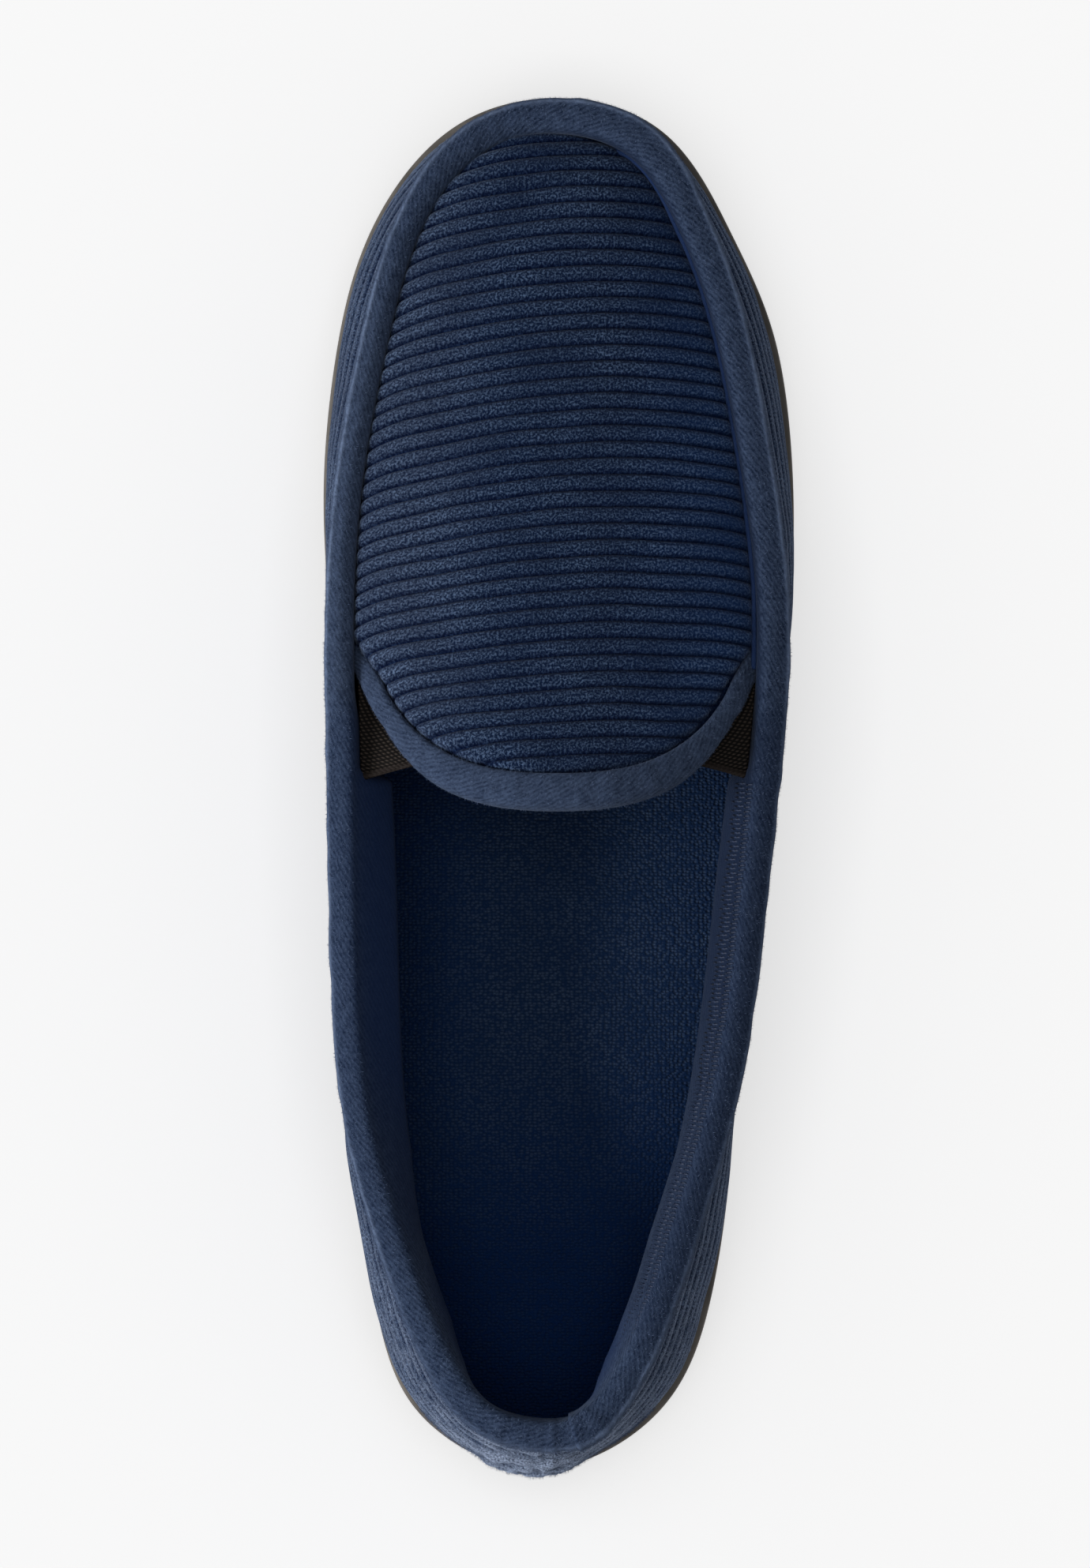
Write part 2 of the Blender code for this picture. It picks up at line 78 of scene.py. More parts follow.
class Section(NamedTuple):
    """One section round the shoe: shares of its sizes, a belly in mm and a lean in degrees.

    Across is a share of the ball width, along of the length, and height of the collar height.
    """

    name: str
    sole_across: float
    sole_along: float
    top_across: float
    top_along: float
    top_height: float
    belly: float
    lean: float


# From the heel by the inner side, the toe and the outer side back to the heel
SECTIONS = (
    Section("heel_back", -0.016, -0.500, -0.010, -0.461, 1.000, 2.8, 12),
    Section("heel_corner_medial", -0.252, -0.465, -0.154, -0.442, 0.990, 2.4, 12),
    Section("heel_side_medial", -0.352, -0.393, -0.267, -0.379, 0.935, 2.5, 10),
    Section("heel_front_medial", -0.390, -0.290, -0.365, -0.282, 0.879, 2.6, 2),
    Section("waist_rear_medial", -0.385, -0.187, -0.414, -0.187, 0.867, 1.0, -8),
    Section("waist_medial", -0.403, -0.067, -0.427, -0.063, 0.897, 0.5, -10),
    Section("waist_front_medial", -0.442, 0.040, -0.431, 0.037, 0.914, 1.0, -2),
    Section("ball_rear_medial", -0.464, 0.140, -0.431, 0.133, 0.845, 0.8, 8),
    Section("ball_medial", -0.471, 0.227, -0.409, 0.227, 0.776, 1.6, 14),
    Section("toe_rear_medial", -0.441, 0.323, -0.358, 0.323, 0.706, 2.2, 14),
    Section("toe_side_medial", -0.367, 0.407, -0.284, 0.405, 0.655, 2.0, 14),
    Section("toe_corner_medial", -0.211, 0.475, -0.152, 0.459, 0.621, 0.8, 14),
    Section("toe_tip", 0.012, 0.500, 0.012, 0.478, 0.606, 0.6, 14),
    Section("toe_corner_lateral", 0.250, 0.476, 0.194, 0.462, 0.621, 1.2, 14),
    Section("toe_side_lateral", 0.396, 0.403, 0.320, 0.403, 0.655, 2.2, 14),
    Section("toe_rear_lateral", 0.492, 0.323, 0.400, 0.323, 0.706, 2.4, 14),
    Section("ball_lateral", 0.528, 0.227, 0.451, 0.227, 0.776, 2.2, 14),
    Section("ball_rear_lateral", 0.524, 0.140, 0.482, 0.133, 0.845, 1.6, 8),
    Section("waist_front_lateral", 0.490, 0.040, 0.474, 0.037, 0.914, 1.0, -2),
    Section("waist_lateral", 0.447, -0.067, 0.444, -0.063, 0.897, 0.5, -6),
    Section("waist_rear_lateral", 0.413, -0.187, 0.399, -0.187, 0.867, 1.0, -4),
    Section("heel_front_lateral", 0.391, -0.290, 0.325, -0.288, 0.879, 2.4, 4),
    Section("heel_side_lateral", 0.340, -0.393, 0.231, -0.384, 0.939, 2.5, 12),
    Section("heel_corner_lateral", 0.222, -0.465, 0.117, -0.448, 0.990, 2.4, 12),
)


def linear(code: str) -> Colour:
    """Linear colour of an sRGB hex value.

    Args:
        code: Six hex digits after a number sign.

    Returns:
        Red, green, blue and a full alpha.
    """
    parts = [int(code[place:place + 2], 16) / 255 for place in (1, 3, 5)]
    light = [part / 12.92 if part <= 0.04045 else ((part + 0.055) / 1.055) ** 2.4 for part in parts]
    return light[0], light[1], light[2], 1.0


def per_metre(size_mm: float) -> float:
    """Texture scale that gives features of a size in millimetres on coordinates in metres."""
    return 1.0 / (size_mm * MM)


def bands(pitch_mm: float) -> float:
    """Scale of Blender's wave texture for stripes of a pitch in millimetres on coordinates in metres."""
    return 2 * math.pi / 20 * per_metre(pitch_mm)


def smooth_step(value: Array, start: float, end: float) -> Array:
    """Soft change from 0 before start to 1 after end.

    Args:
        value: Where to read it.
        start: Value that still gives 0.
        end: Value that first gives 1.

    Returns:
        Shares between 0 and 1.
    """
    share = np.clip((value - start) / (end - start), 0, 1)
    return share * share * (3 - 2 * share)


def unit(vectors: Array) -> Array:
    """Vectors of the last axis scaled to length 1."""
    return vectors / np.maximum(np.linalg.norm(vectors, axis=-1, keepdims=True), 1e-12)


def cloth_noise(first: Array, second: Array, cell: float, seed: int) -> Array:
    """Soft, repeatable unevenness between about -1 and 1 over a surface.

    Args:
        first: One coordinate of the surface, in metres.
        second: The other coordinate.
        cell: Size of a bump, in metres.
        seed: Which pattern to use.

    Returns:
        Values of the same shape as the coordinates.
    """
    size = 64
    lattice = np.random.default_rng(seed).uniform(-1, 1, (size, size))
    u, v = first / cell + 1000, second / cell + 1000
    low_u, low_v = np.floor(u).astype(int), np.floor(v).astype(int)
    part_u, part_v = u - low_u, v - low_v
    ease_u, ease_v = part_u ** 2 * (3 - 2 * part_u), part_v ** 2 * (3 - 2 * part_v)
    a = lattice[low_u % size, low_v % size]
    b = lattice[(low_u + 1) % size, low_v % size]
    c = lattice[low_u % size, (low_v + 1) % size]
    d = lattice[(low_u + 1) % size, (low_v + 1) % size]
    return (a * (1 - ease_u) + b * ease_u) * (1 - ease_v) + (c * (1 - ease_u) + d * ease_u) * ease_v


def loop_ripple(places: Array, waves: int, seed: int) -> Array:
    """Unevenness that closes on itself round the shoe.

    Args:
        places: Places round the shoe, counted in sections.
        waves: Slowest number of waves in one round.
        seed: Which pattern to use.

    Returns:
        Values between about -1 and 1.
    """
    turn = 2 * np.pi * places / len(SECTIONS)
    total = np.zeros(np.shape(places))
    weights = (1.0, 0.7, 0.5)
    for step, weight in enumerate(weights):
        count = waves + step * (waves // 2 + 1)
        total = total + weight * np.sin(count * turn + 2.4 * seed + 1.7 * step)
    return total / sum(weights)


def through(rows: Array, count: int) -> Array:
    """Smooth open curve through rows of values, read at an even spacing of the rows.

    Args:
        rows: Values to pass through, one row a stop.
        count: How many rows to return.

    Returns:
        The curve's rows.
    """
    rows = np.asarray(rows, dtype=float)
    padded = np.vstack((2 * rows[:1] - rows[1:2], rows, 2 * rows[-1:] - rows[-2:-1]))
    spot = np.linspace(0, len(rows) - 1, count)
    low = np.minimum(spot.astype(int), len(rows) - 2)
    t = (spot - low).reshape(-1, *([1] * (rows.ndim - 1)))
    p0, p1, p2, p3 = padded[low], padded[low + 1], padded[low + 2], padded[low + 3]
    return 0.5 * (2 * p1 + (p2 - p0) * t + (2 * p0 - 5 * p1 + 4 * p2 - p3) * t ** 2
                  + (3 * p1 - p0 - 3 * p2 + p3) * t ** 3)


def run_length(points: Array, axis: int) -> Array:
    """Length along rows or columns of a table of points, from 0.

    Args:
        points: Table of points, with the coordinates last.
        axis: 0 down the rows, 1 along the columns.

    Returns:
        Lengths in metres, one for each point.
    """
    steps = np.linalg.norm(np.diff(points, axis=axis), axis=-1)
    start = np.zeros_like(np.take(steps, [0], axis=axis))
    return np.concatenate((start, np.cumsum(steps, axis=axis)), axis=axis)


def between(table: Array, row: Array, column: Array) -> Array:
    """Values of a table between its rows and columns.

    Args:
        table: Values by row and column, with their parts last.
        row: Rows to read, whole or not.
        column: Columns to read, of the same shape.

    Returns:
        The values, with their parts last.
    """
    low = np.clip(np.floor(row).astype(int), 0, table.shape[0] - 2)
    left = np.clip(np.floor(column).astype(int), 0, table.shape[1] - 2)
    v, u = (row - low)[..., None], (column - left)[..., None]
    here = table[low, left] * (1 - u) + table[low, left + 1] * u
    below = table[low + 1, left] * (1 - u) + table[low + 1, left + 1] * u
    return here * (1 - v) + below * v


def round_chart(points: Array) -> Array:
    """Cloth coordinates of a table of points whose columns go once round the shoe."""
    closed = np.concatenate((points, points[:, :1]), axis=1)
    return np.stack((run_length(closed, 1), run_length(closed, 0)), axis=-1)


def strip_chart(points: Array, row: int) -> Array:
    """Cloth coordinates of a folded strip: its length along one row, and its width."""
    length = np.broadcast_to(run_length(points[row:row + 1], 1), points.shape[:2])
    return np.stack((length, run_length(points, 0)), axis=-1)


def normals_of(points: Array) -> Array:
    """Unit normals of a table of points, by the right-hand rule from rows to columns."""
    return unit(np.cross(np.gradient(points, axis=0), np.gradient(points, axis=1)))


@dataclass(frozen=True)
class Last:
    """Foot form that every piece is cut from, with the sizes in metres."""

    length: float = 300 * MM
    ball_width: float = 103 * MM
    collar_height: float = 66 * MM
    instep_height: float = 78 * MM
    heel_thickness: float = 13 * MM
    forefoot_thickness: float = 9.5 * MM
    toe_spring: float = 5 * MM
    toe_spring_start: float = 81 * MM
    heel_bevel: float = 1.2 * MM
    heel_bevel_start: float = -132 * MM
    wedge_rear: float = -69 * MM
    wedge_front: float = 30 * MM
    arch_rear: float = -60 * MM
    arch_front: float = 18 * MM
    arch_rise: float = 1.8 * MM
    ledge: float = 1.8 * MM
    lower_pull: float = 0.40
    upper_pull: float = 0.36
    wall: float = 3.0 * MM
    plug_thickness: float = 3.0 * MM
    seat_gap: float = 0.3 * MM
    tape_reach: float = 1.95 * MM
    seam_depth: float = 4.6 * MM
    plug_puff: float = 7.0 * MM
    puff_reach: float = 12 * MM
    plug_arch: float = 2.2
    throat_front: float = 50 * MM
    throat_rear: float = -2.5 * MM
    throat_power: float = 2.5

    @cached_property
    def rows(self) -> Array:
        """The section table in metres and radians: sole x, y, top x, y, z, belly, lean.

        Returns:
            One row for each section.
        """
        across = [part.sole_across for part in SECTIONS]
        middle = 0.5 * (max(across) + min(across))
        rows = []
        for part in SECTIONS:
            rows.append((
                (part.sole_across - middle) * self.ball_width, part.sole_along * self.length,
                (part.top_across - middle) * self.ball_width, part.top_along * self.length,
                part.top_height * self.collar_height, part.belly * MM, math.radians(part.lean),
            ))
        return np.array(rows)

    @cached_property
    def bend(self) -> Array:
        """Second differences that make the closed curve through the sections smooth.

        Returns:
            One row for each section.
        """
        one = np.eye(len(self.rows))
        system = 4 * one + np.roll(one, 1, axis=0) + np.roll(one, -1, axis=0)
        pull = np.roll(self.rows, 1, axis=0) - 2 * self.rows + np.roll(self.rows, -1, axis=0)
        return np.linalg.solve(system, 6 * pull)

    def section(self, places: Array) -> Array:
        """Section values at places between the sections.

        Args:
            places: Places round the shoe, counted in sections from the heel.

        Returns:
            One row of section values for each place.
        """
        low = np.floor(places).astype(int)
        share = (places - low)[:, None]
        rest = 1 - share
        first, second = low % len(SECTIONS), (low + 1) % len(SECTIONS)
        curve = self.rows[first] * rest + self.rows[second] * share
        return curve + ((rest ** 3 - rest) * self.bend[first] + (share ** 3 - share) * self.bend[second]) / 6

    def places(self, count: int) -> Array:
        """Evenly numbered places once round the shoe."""
        return np.linspace(0, len(SECTIONS), count, endpoint=False)

    def spring(self, along: Array) -> Array:
        """Rise of the toe at places along the shoe."""
        share = np.clip((along - self.toe_spring_start) / (self.length / 2 - self.toe_spring_start), 0, 1)
        return self.toe_spring * share ** 2

    def sole_bottom(self, along: Array) -> Array:
        """Height of the tread: flat at ball and heel, raised at the arch, toe and heel edge.

        Args:
            along: y of the places.

        Returns:
            Heights in metres.
        """
        bevel = np.clip((self.heel_bevel_start - along) / (self.heel_bevel_start + self.length / 2), 0, 1)
        arch = np.clip((along - self.arch_rear) / (self.arch_front - self.arch_rear), 0, 1)
        return self.spring(along) + self.heel_bevel * bevel ** 2 + self.arch_rise * np.sin(np.pi * arch) ** 2

    def sole_top(self, along: Array) -> Array:
        """Height of the face that the upper and the insole stand on.

        Args:
            along: y of the places.

        Returns:
            Heights in metres.
        """
        wedge = smooth_step(along, self.wedge_rear, self.wedge_front)
        thickness = self.heel_thickness + (self.forefoot_thickness - self.heel_thickness) * wedge
        return thickness + self.spring(along)

    def sole_edge(self, places: Array, inset: float) -> tuple[Array, Array]:
        """The sole's plan outline moved inward.

        Args:
            places: Places round the shoe.
            inset: Distance inward.

        Returns:
            Points in plan and outward unit normals.
        """
        step = 0.02
        edge = self.section(places)[:, :2]
        run = unit(self.section(places + step)[:, :2] - self.section(places - step)[:, :2])
        outward = np.stack((-run[:, 1], run[:, 0]), axis=1)
        return edge - outward * inset, outward

    def sole_plan(self, inset: float, rows: int, share: Array) -> tuple[Array, Array]:
        """Plan points over the sole inside its outline, from the heel to the toe.

        Args:
            inset: Distance in from the outline.
            rows: Rows along the shoe.
            share: Shares of the width in each row, from the inner side to the outer.

        Returns:
            Points by row and column, and their distances to the edge.
        """
        half = len(SECTIONS) / 2
        places = half * (1 - np.cos(np.linspace(0.002, 1, rows) * np.pi)) / 2 * 0.999
        left, _ = self.sole_edge(places, inset)
        right, _ = self.sole_edge(len(SECTIONS) - places, inset)
        part = share[None, :, None]
        plan = left[:, None] * (1 - part) + right[:, None] * part
        sides = np.minimum(share, 1 - share) * np.linalg.norm(right - left, axis=1)[:, None]
        along = plan[..., 1]
        ends = np.minimum(along - along.min(), along.max() - along)
        return plan, np.minimum(sides, ends)

    def wall_surface(self, places: Array, climb: Array) -> Array:
        """Outer face of the wall.

        Args:
            places: Places round the shoe.
            climb: 0 at the sole and 1 at the cut edge, one for each place.

        Returns:
            Points on the face.
        """
        values = self.section(places)
        foot, outward = self.sole_edge(places, self.ledge)
        base = np.column_stack((foot, self.sole_top(foot[:, 1]) + self.seat_gap))
        top, belly, lean = values[:, 2:5], values[:, 5], values[:, 6]
        height = top[:, 2] - base[:, 2]
        out = np.column_stack((outward, np.zeros(len(outward))))
        rise = np.cos(lean)[:, None] * UP - np.sin(lean)[:, None] * out
        low = base + UP * (self.lower_pull * height)[:, None]
        high = top - rise * (self.upper_pull * height)[:, None]
        t = np.asarray(climb, dtype=float)[:, None]
        curve = (1 - t) ** 3 * base + 3 * (1 - t) ** 2 * t * low + 3 * (1 - t) * t ** 2 * high + t ** 3 * top
        return curve + out * (belly[:, None] * np.sin(np.pi * np.clip(t, 0, 1)) ** 2)

    def wall_frame(self, places: Array, climb: Array) -> tuple[Array, Array, Array]:
        """Points of the wall's outer face with directions.

        Args:
            places: Places round the shoe.
            climb: 0 at the sole and 1 at the cut edge, one for each place.

        Returns:
            Points, outward unit normals and unit directions up the wall.
        """
        step = 0.01
        point = self.wall_surface(places, climb)
        up = unit(point - self.wall_surface(places, climb - step))
        run = self.wall_surface(places + step, climb) - self.wall_surface(places - step, climb)
        return point, unit(np.cross(up, run)), up

    def edge_scale(self, places: Array) -> Array:
        """Length up the wall that a whole climb would have at the pace of the cut edge.

        Args:
            places: Places round the shoe.

        Returns:
            Lengths in metres.
        """
        ones = np.ones(len(places))
        top = self.wall_surface(places, ones)
        return np.linalg.norm(top - self.wall_surface(places, 0.9 * ones), axis=1) * 10

    def wall_below(self, places: Array, drop: Array) -> tuple[Array, Array, Array]:
        """Wall frame at a length below the cut edge, or above it along the edge's own direction.

        Args:
            places: Places round the shoe.
            drop: Length below the cut edge, one for each place.

        Returns:
            Points, outward unit normals and unit directions up the wall.
        """
        point, normal, up = self.wall_frame(places, 1 - np.maximum(drop, 0) / self.edge_scale(places))
        return point + up * np.maximum(-drop, 0)[:, None], normal, up

    def place_at(self, along: float, side: Side) -> float:
        """Place where the cut edge of one side passes a point along the shoe.

        Args:
            along: y of the point.
            side: Side of the foot.

        Returns:
            The place, counted in sections.
        """
        low, high = (0.5, 11.5) if side is Side.MEDIAL else (12.5, 23.5)
        search = np.linspace(low, high, 600)
        reach = self.section(search)[:, 3]
        order = np.argsort(reach)
        return float(np.interp(along, reach[order], search[order]))

    @cached_property
    def seams(self) -> dict[Side, Array]:
        """Where the plug meets the middle of the wall on each side, from rear to front.

        Returns:
            Points of each side's line.
        """
        lines = {}
        for side, start in ((Side.MEDIAL, 5.0), (Side.LATERAL, 19.0)):
            places = np.linspace(start, len(SECTIONS) / 2, 160)
            point, normal, up = self.wall_frame(places, np.ones(len(places)))
            lines[side] = point - normal * self.wall / 2 - up * self.seam_depth
        return lines

    def seam_at(self, along: Array, side: Side, axis: int) -> Array:
        """Across (0) or height (2) of one seam at places along the shoe."""
        line = self.seams[side]
        return np.interp(along, line[:, 1], line[:, axis])

    def plug_height(self, across: Array, along: Array) -> Array:
        """Height of the plug's outer face: a crown that climbs to the instep and falls to the seams.

        Args:
            across: x of the points.
            along: y of the points.

        Returns:
            z of the points.
        """
        tip = self.seams[Side.MEDIAL][-1]
        reach = np.clip(along, self.throat_front - 25 * MM, tip[1])
        left, right = self.seam_at(reach, Side.MEDIAL, 0), self.seam_at(reach, Side.LATERAL, 0)
        back = tip[1] - along
        slope = (self.instep_height - tip[2] - self.plug_puff) / (tip[1] - self.throat_rear)
        crown = tip[2] + slope * back + self.plug_puff * (1 - np.exp(-np.maximum(back, 0) / self.puff_reach))
        share = (across - 0.5 * (left + right)) / np.maximum(0.5 * (right - left), 1 * MM)
        side = np.where(share < 0, self.seam_at(reach, Side.MEDIAL, 2), self.seam_at(reach, Side.LATERAL, 2))
        return crown - (crown - side) * np.minimum(np.abs(share), 1.15) ** self.plug_arch

    def plug_frame(self, across: Array, along: Array) -> tuple[Array, Array]:
        """Points on the plug's outer face and unit normals there.

        Args:
            across: x of the points, of any shape.
            along: y of the points.

        Returns:
            Points and normals, with the coordinates last.
        """
        step = 0.5 * MM
        rise = self.plug_height
        height = rise(across, along)
        slope_x = (rise(across + step, along) - rise(across - step, along)) / (2 * step)
        slope_y = (rise(across, along + step) - rise(across, along - step)) / (2 * step)
        normal = unit(np.stack((-slope_x, -slope_y, np.ones_like(height)), axis=-1))
        return np.stack((across, along, height), axis=-1), normal

    @cached_property
    def throat(self) -> tuple[float, float, float]:
        """Middle, half width and depth of the plug's rounded rear edge in plan.

        Returns:
            The three sizes in metres.
        """
        left = float(self.seam_at(np.array(self.throat_front), Side.MEDIAL, 0))
        right = float(self.seam_at(np.array(self.throat_front), Side.LATERAL, 0))
        return 0.5 * (left + right), 0.5 * (right - left), self.throat_front - self.throat_rear

    def throat_edge(self, turn: Array) -> tuple[Array, Array]:
        """Plug's free rear edge in plan.

        Args:
            turn: 0 at the outer side to pi at the inner side.

        Returns:
            Points in plan and unit normals that point away from the plug.
        """
        middle, half, depth = self.throat
        power = 2 / self.throat_power

        def spot(angle: Array) -> Array:
            """Plan point of the rounded edge.

            Args:
                angle: Turns along the edge.

            Returns:
                Points in plan.
            """
            across = np.sign(np.cos(angle)) * np.abs(np.cos(angle)) ** power
            along = self.throat_front - depth * np.abs(np.sin(angle)) ** power
            return np.column_stack((middle + half * across, along))

        run = unit(spot(turn - 0.01) - spot(turn + 0.01))
        return spot(turn), np.column_stack((run[:, 1], -run[:, 0]))

    def turn_at(self, along: float, side: Side) -> float:
        """Turn at which the throat edge passes a place along the shoe."""
        turn = math.asin(((self.throat_front - along) / self.throat[2]) ** (self.throat_power / 2))
        return turn if side is Side.LATERAL else math.pi - turn


def new_piece(name: str, points: Array, faces: list[Sequence[int]], chart: Array | None = None,
              marks: dict[str, Array] | None = None) -> bpy.types.Object:
    """New mesh object in the scene; it is smooth where it has cloth coordinates.

    Args:
        name: Name of the piece.
        points: Its points.
        faces: Point numbers of each face.
        chart: Cloth coordinates in metres, one for each corner of each face.
        marks: Values to store on the points by name.

    Returns:
        The new object, linked to the scene.
    """
    mesh = bpy.data.meshes.new(name)
    mesh.from_pydata(points.tolist(), [], faces)
    if chart is not None:
        layer = mesh.uv_layers.new(name=CHART)
        layer.data.foreach_set("uv", chart.astype(np.float32).ravel())
        mesh.polygons.foreach_set("use_smooth", np.ones(len(faces), dtype=bool))
    for mark, values in (marks or {}).items():
        store = mesh.attributes.new(mark, "FLOAT", "POINT")
        store.data.foreach_set("value", values.astype(np.float32))
    mesh.update()
    piece = bpy.data.objects.new(name, mesh)
    bpy.context.scene.collection.objects.link(piece)
    return piece


def sheet(name: str, points: Array, chart: Array, loop: Loop = Loop.OPEN, keep: Array | None = None,
          marks: dict[str, Array] | None = None) -> bpy.types.Object:
    """Smooth mesh over a table of points, with cloth coordinates in metres.

    Args:
        name: Name of the piece.
        points: Table of points by row and column.
        chart: Cloth coordinates by row and column, with one more column than the points on a closed loop.
        loop: Whether the last column joins the first.
        keep: Which points belong to the piece; a face needs all four of its corners.
        marks: Values to store on the points by name.

    Returns:
        The new object, linked to the scene.
    """
    rows, columns = points.shape[:2]
    last = columns if loop is Loop.CLOSED else columns - 1
    i, j = np.meshgrid(np.arange(rows - 1), np.arange(last), indexing="ij")
    corners = np.array(((i, j), (i, j + 1), (i + 1, j + 1), (i + 1, j)))
    corners = corners.reshape(4, 2, -1).transpose(2, 0, 1)
    faces = corners[:, :, 0] * columns + corners[:, :, 1] % columns
    if keep is not None:
        whole = keep.ravel()[faces].all(axis=1)
        faces, corners = faces[whole], corners[whole]
    used, renumbered = np.unique(faces, return_inverse=True)
    kept = {mark: values.ravel()[used] for mark, values in (marks or {}).items()}
    return new_piece(name, points.reshape(-1, 3)[used], renumbered.reshape(faces.shape).tolist(),
                     chart[corners[:, :, 0], corners[:, :, 1]], kept)


def tubes(name: str, paths: Sequence[Array], radius: float, sides: int,
          marks: dict[str, float] | None = None) -> bpy.types.Object:
    """Threads or cords along paths, as one mesh.

    Args:
        name: Name of the piece.
        paths: Points of each thread.
        radius: Half the thickness.
        sides: Corners of the round section.
        marks: Values to store on all the points by name.

    Returns:
        The new object, linked to the scene.
    """
    points, faces, chart = [], [], []
    angles = np.linspace(0, 2 * np.pi, sides, endpoint=False)[None, :, None]
    for path in paths:
        start = sum(len(part) for part in points)
        run = unit(np.gradient(path, axis=0))
        helper = np.where(np.abs(run[:, 2:3]) < STEEP, UP, np.array((1.0, 0.0, 0.0)))
        first = unit(np.cross(run, helper))
        second = np.cross(run, first)
        ring = first[:, None] * np.cos(angles) + second[:, None] * np.sin(angles)
        points.append((path[:, None] + radius * ring).reshape(-1, 3))
        count = len(path)
        length = run_length(path, 0)
        for row in range(count - 1):
            low, high = start + row * sides, start + (row + 1) * sides
            for side in range(sides):
                after = (side + 1) % sides
                faces.append((low + side, low + after, high + after, high + side))
                left, right = side * radius, (side + 1) * radius
                chart.extend(((length[row], left), (length[row], right)))
                chart.extend(((length[row + 1], right), (length[row + 1], left)))
        faces.append(tuple(start + side for side in reversed(range(sides))))
        faces.append(tuple(start + (count - 1) * sides + side for side in range(sides)))
        chart.extend([(0.0, 0.0)] * (2 * sides))
    table = np.vstack(points)
    values = {mark: np.full(len(table), value) for mark, value in (marks or {}).items()}
    return new_piece(name, table, faces, np.array(chart), values)


def add_node(tree: bpy.types.NodeTree, kind: str, settings: dict[Any, Any] | None = None,
             links: dict[Any, bpy.types.NodeSocket] | None = None) -> bpy.types.Node:
    """Add one shader node.

    Args:
        tree: Node tree of the material.
        kind: Blender's type of the node.
        settings: Values by input, or by attribute where no input has that name.
        links: Sockets that feed the inputs.

    Returns:
        The new node.
    """
    made = tree.nodes.new(kind)
    for name, value in (settings or {}).items():
        if isinstance(name, int) or name in made.inputs:
            made.inputs[name].default_value = value
        else:
            setattr(made, name, value)
    for name, socket in (links or {}).items():
        tree.links.new(socket, made.inputs[name])
    return made


def bare_material(name: str) -> tuple[bpy.types.Material, bpy.types.NodeTree, bpy.types.Node]:
    """New material with its node tree and its shader.

    Args:
        name: Name of the material.

    Returns:
        The material, its node tree and its shader.
    """
    made = bpy.data.materials.new(name)
    made.use_nodes = True
    return made, made.node_tree, made.node_tree.nodes["Principled BSDF"]


def set_inputs(shader: bpy.types.Node, **values: Any) -> None:
    """Set the shader's own sockets; a name's underscores stand for spaces."""
    for name, value in values.items():
        shader.inputs[name.replace("_", " ")].default_value = value


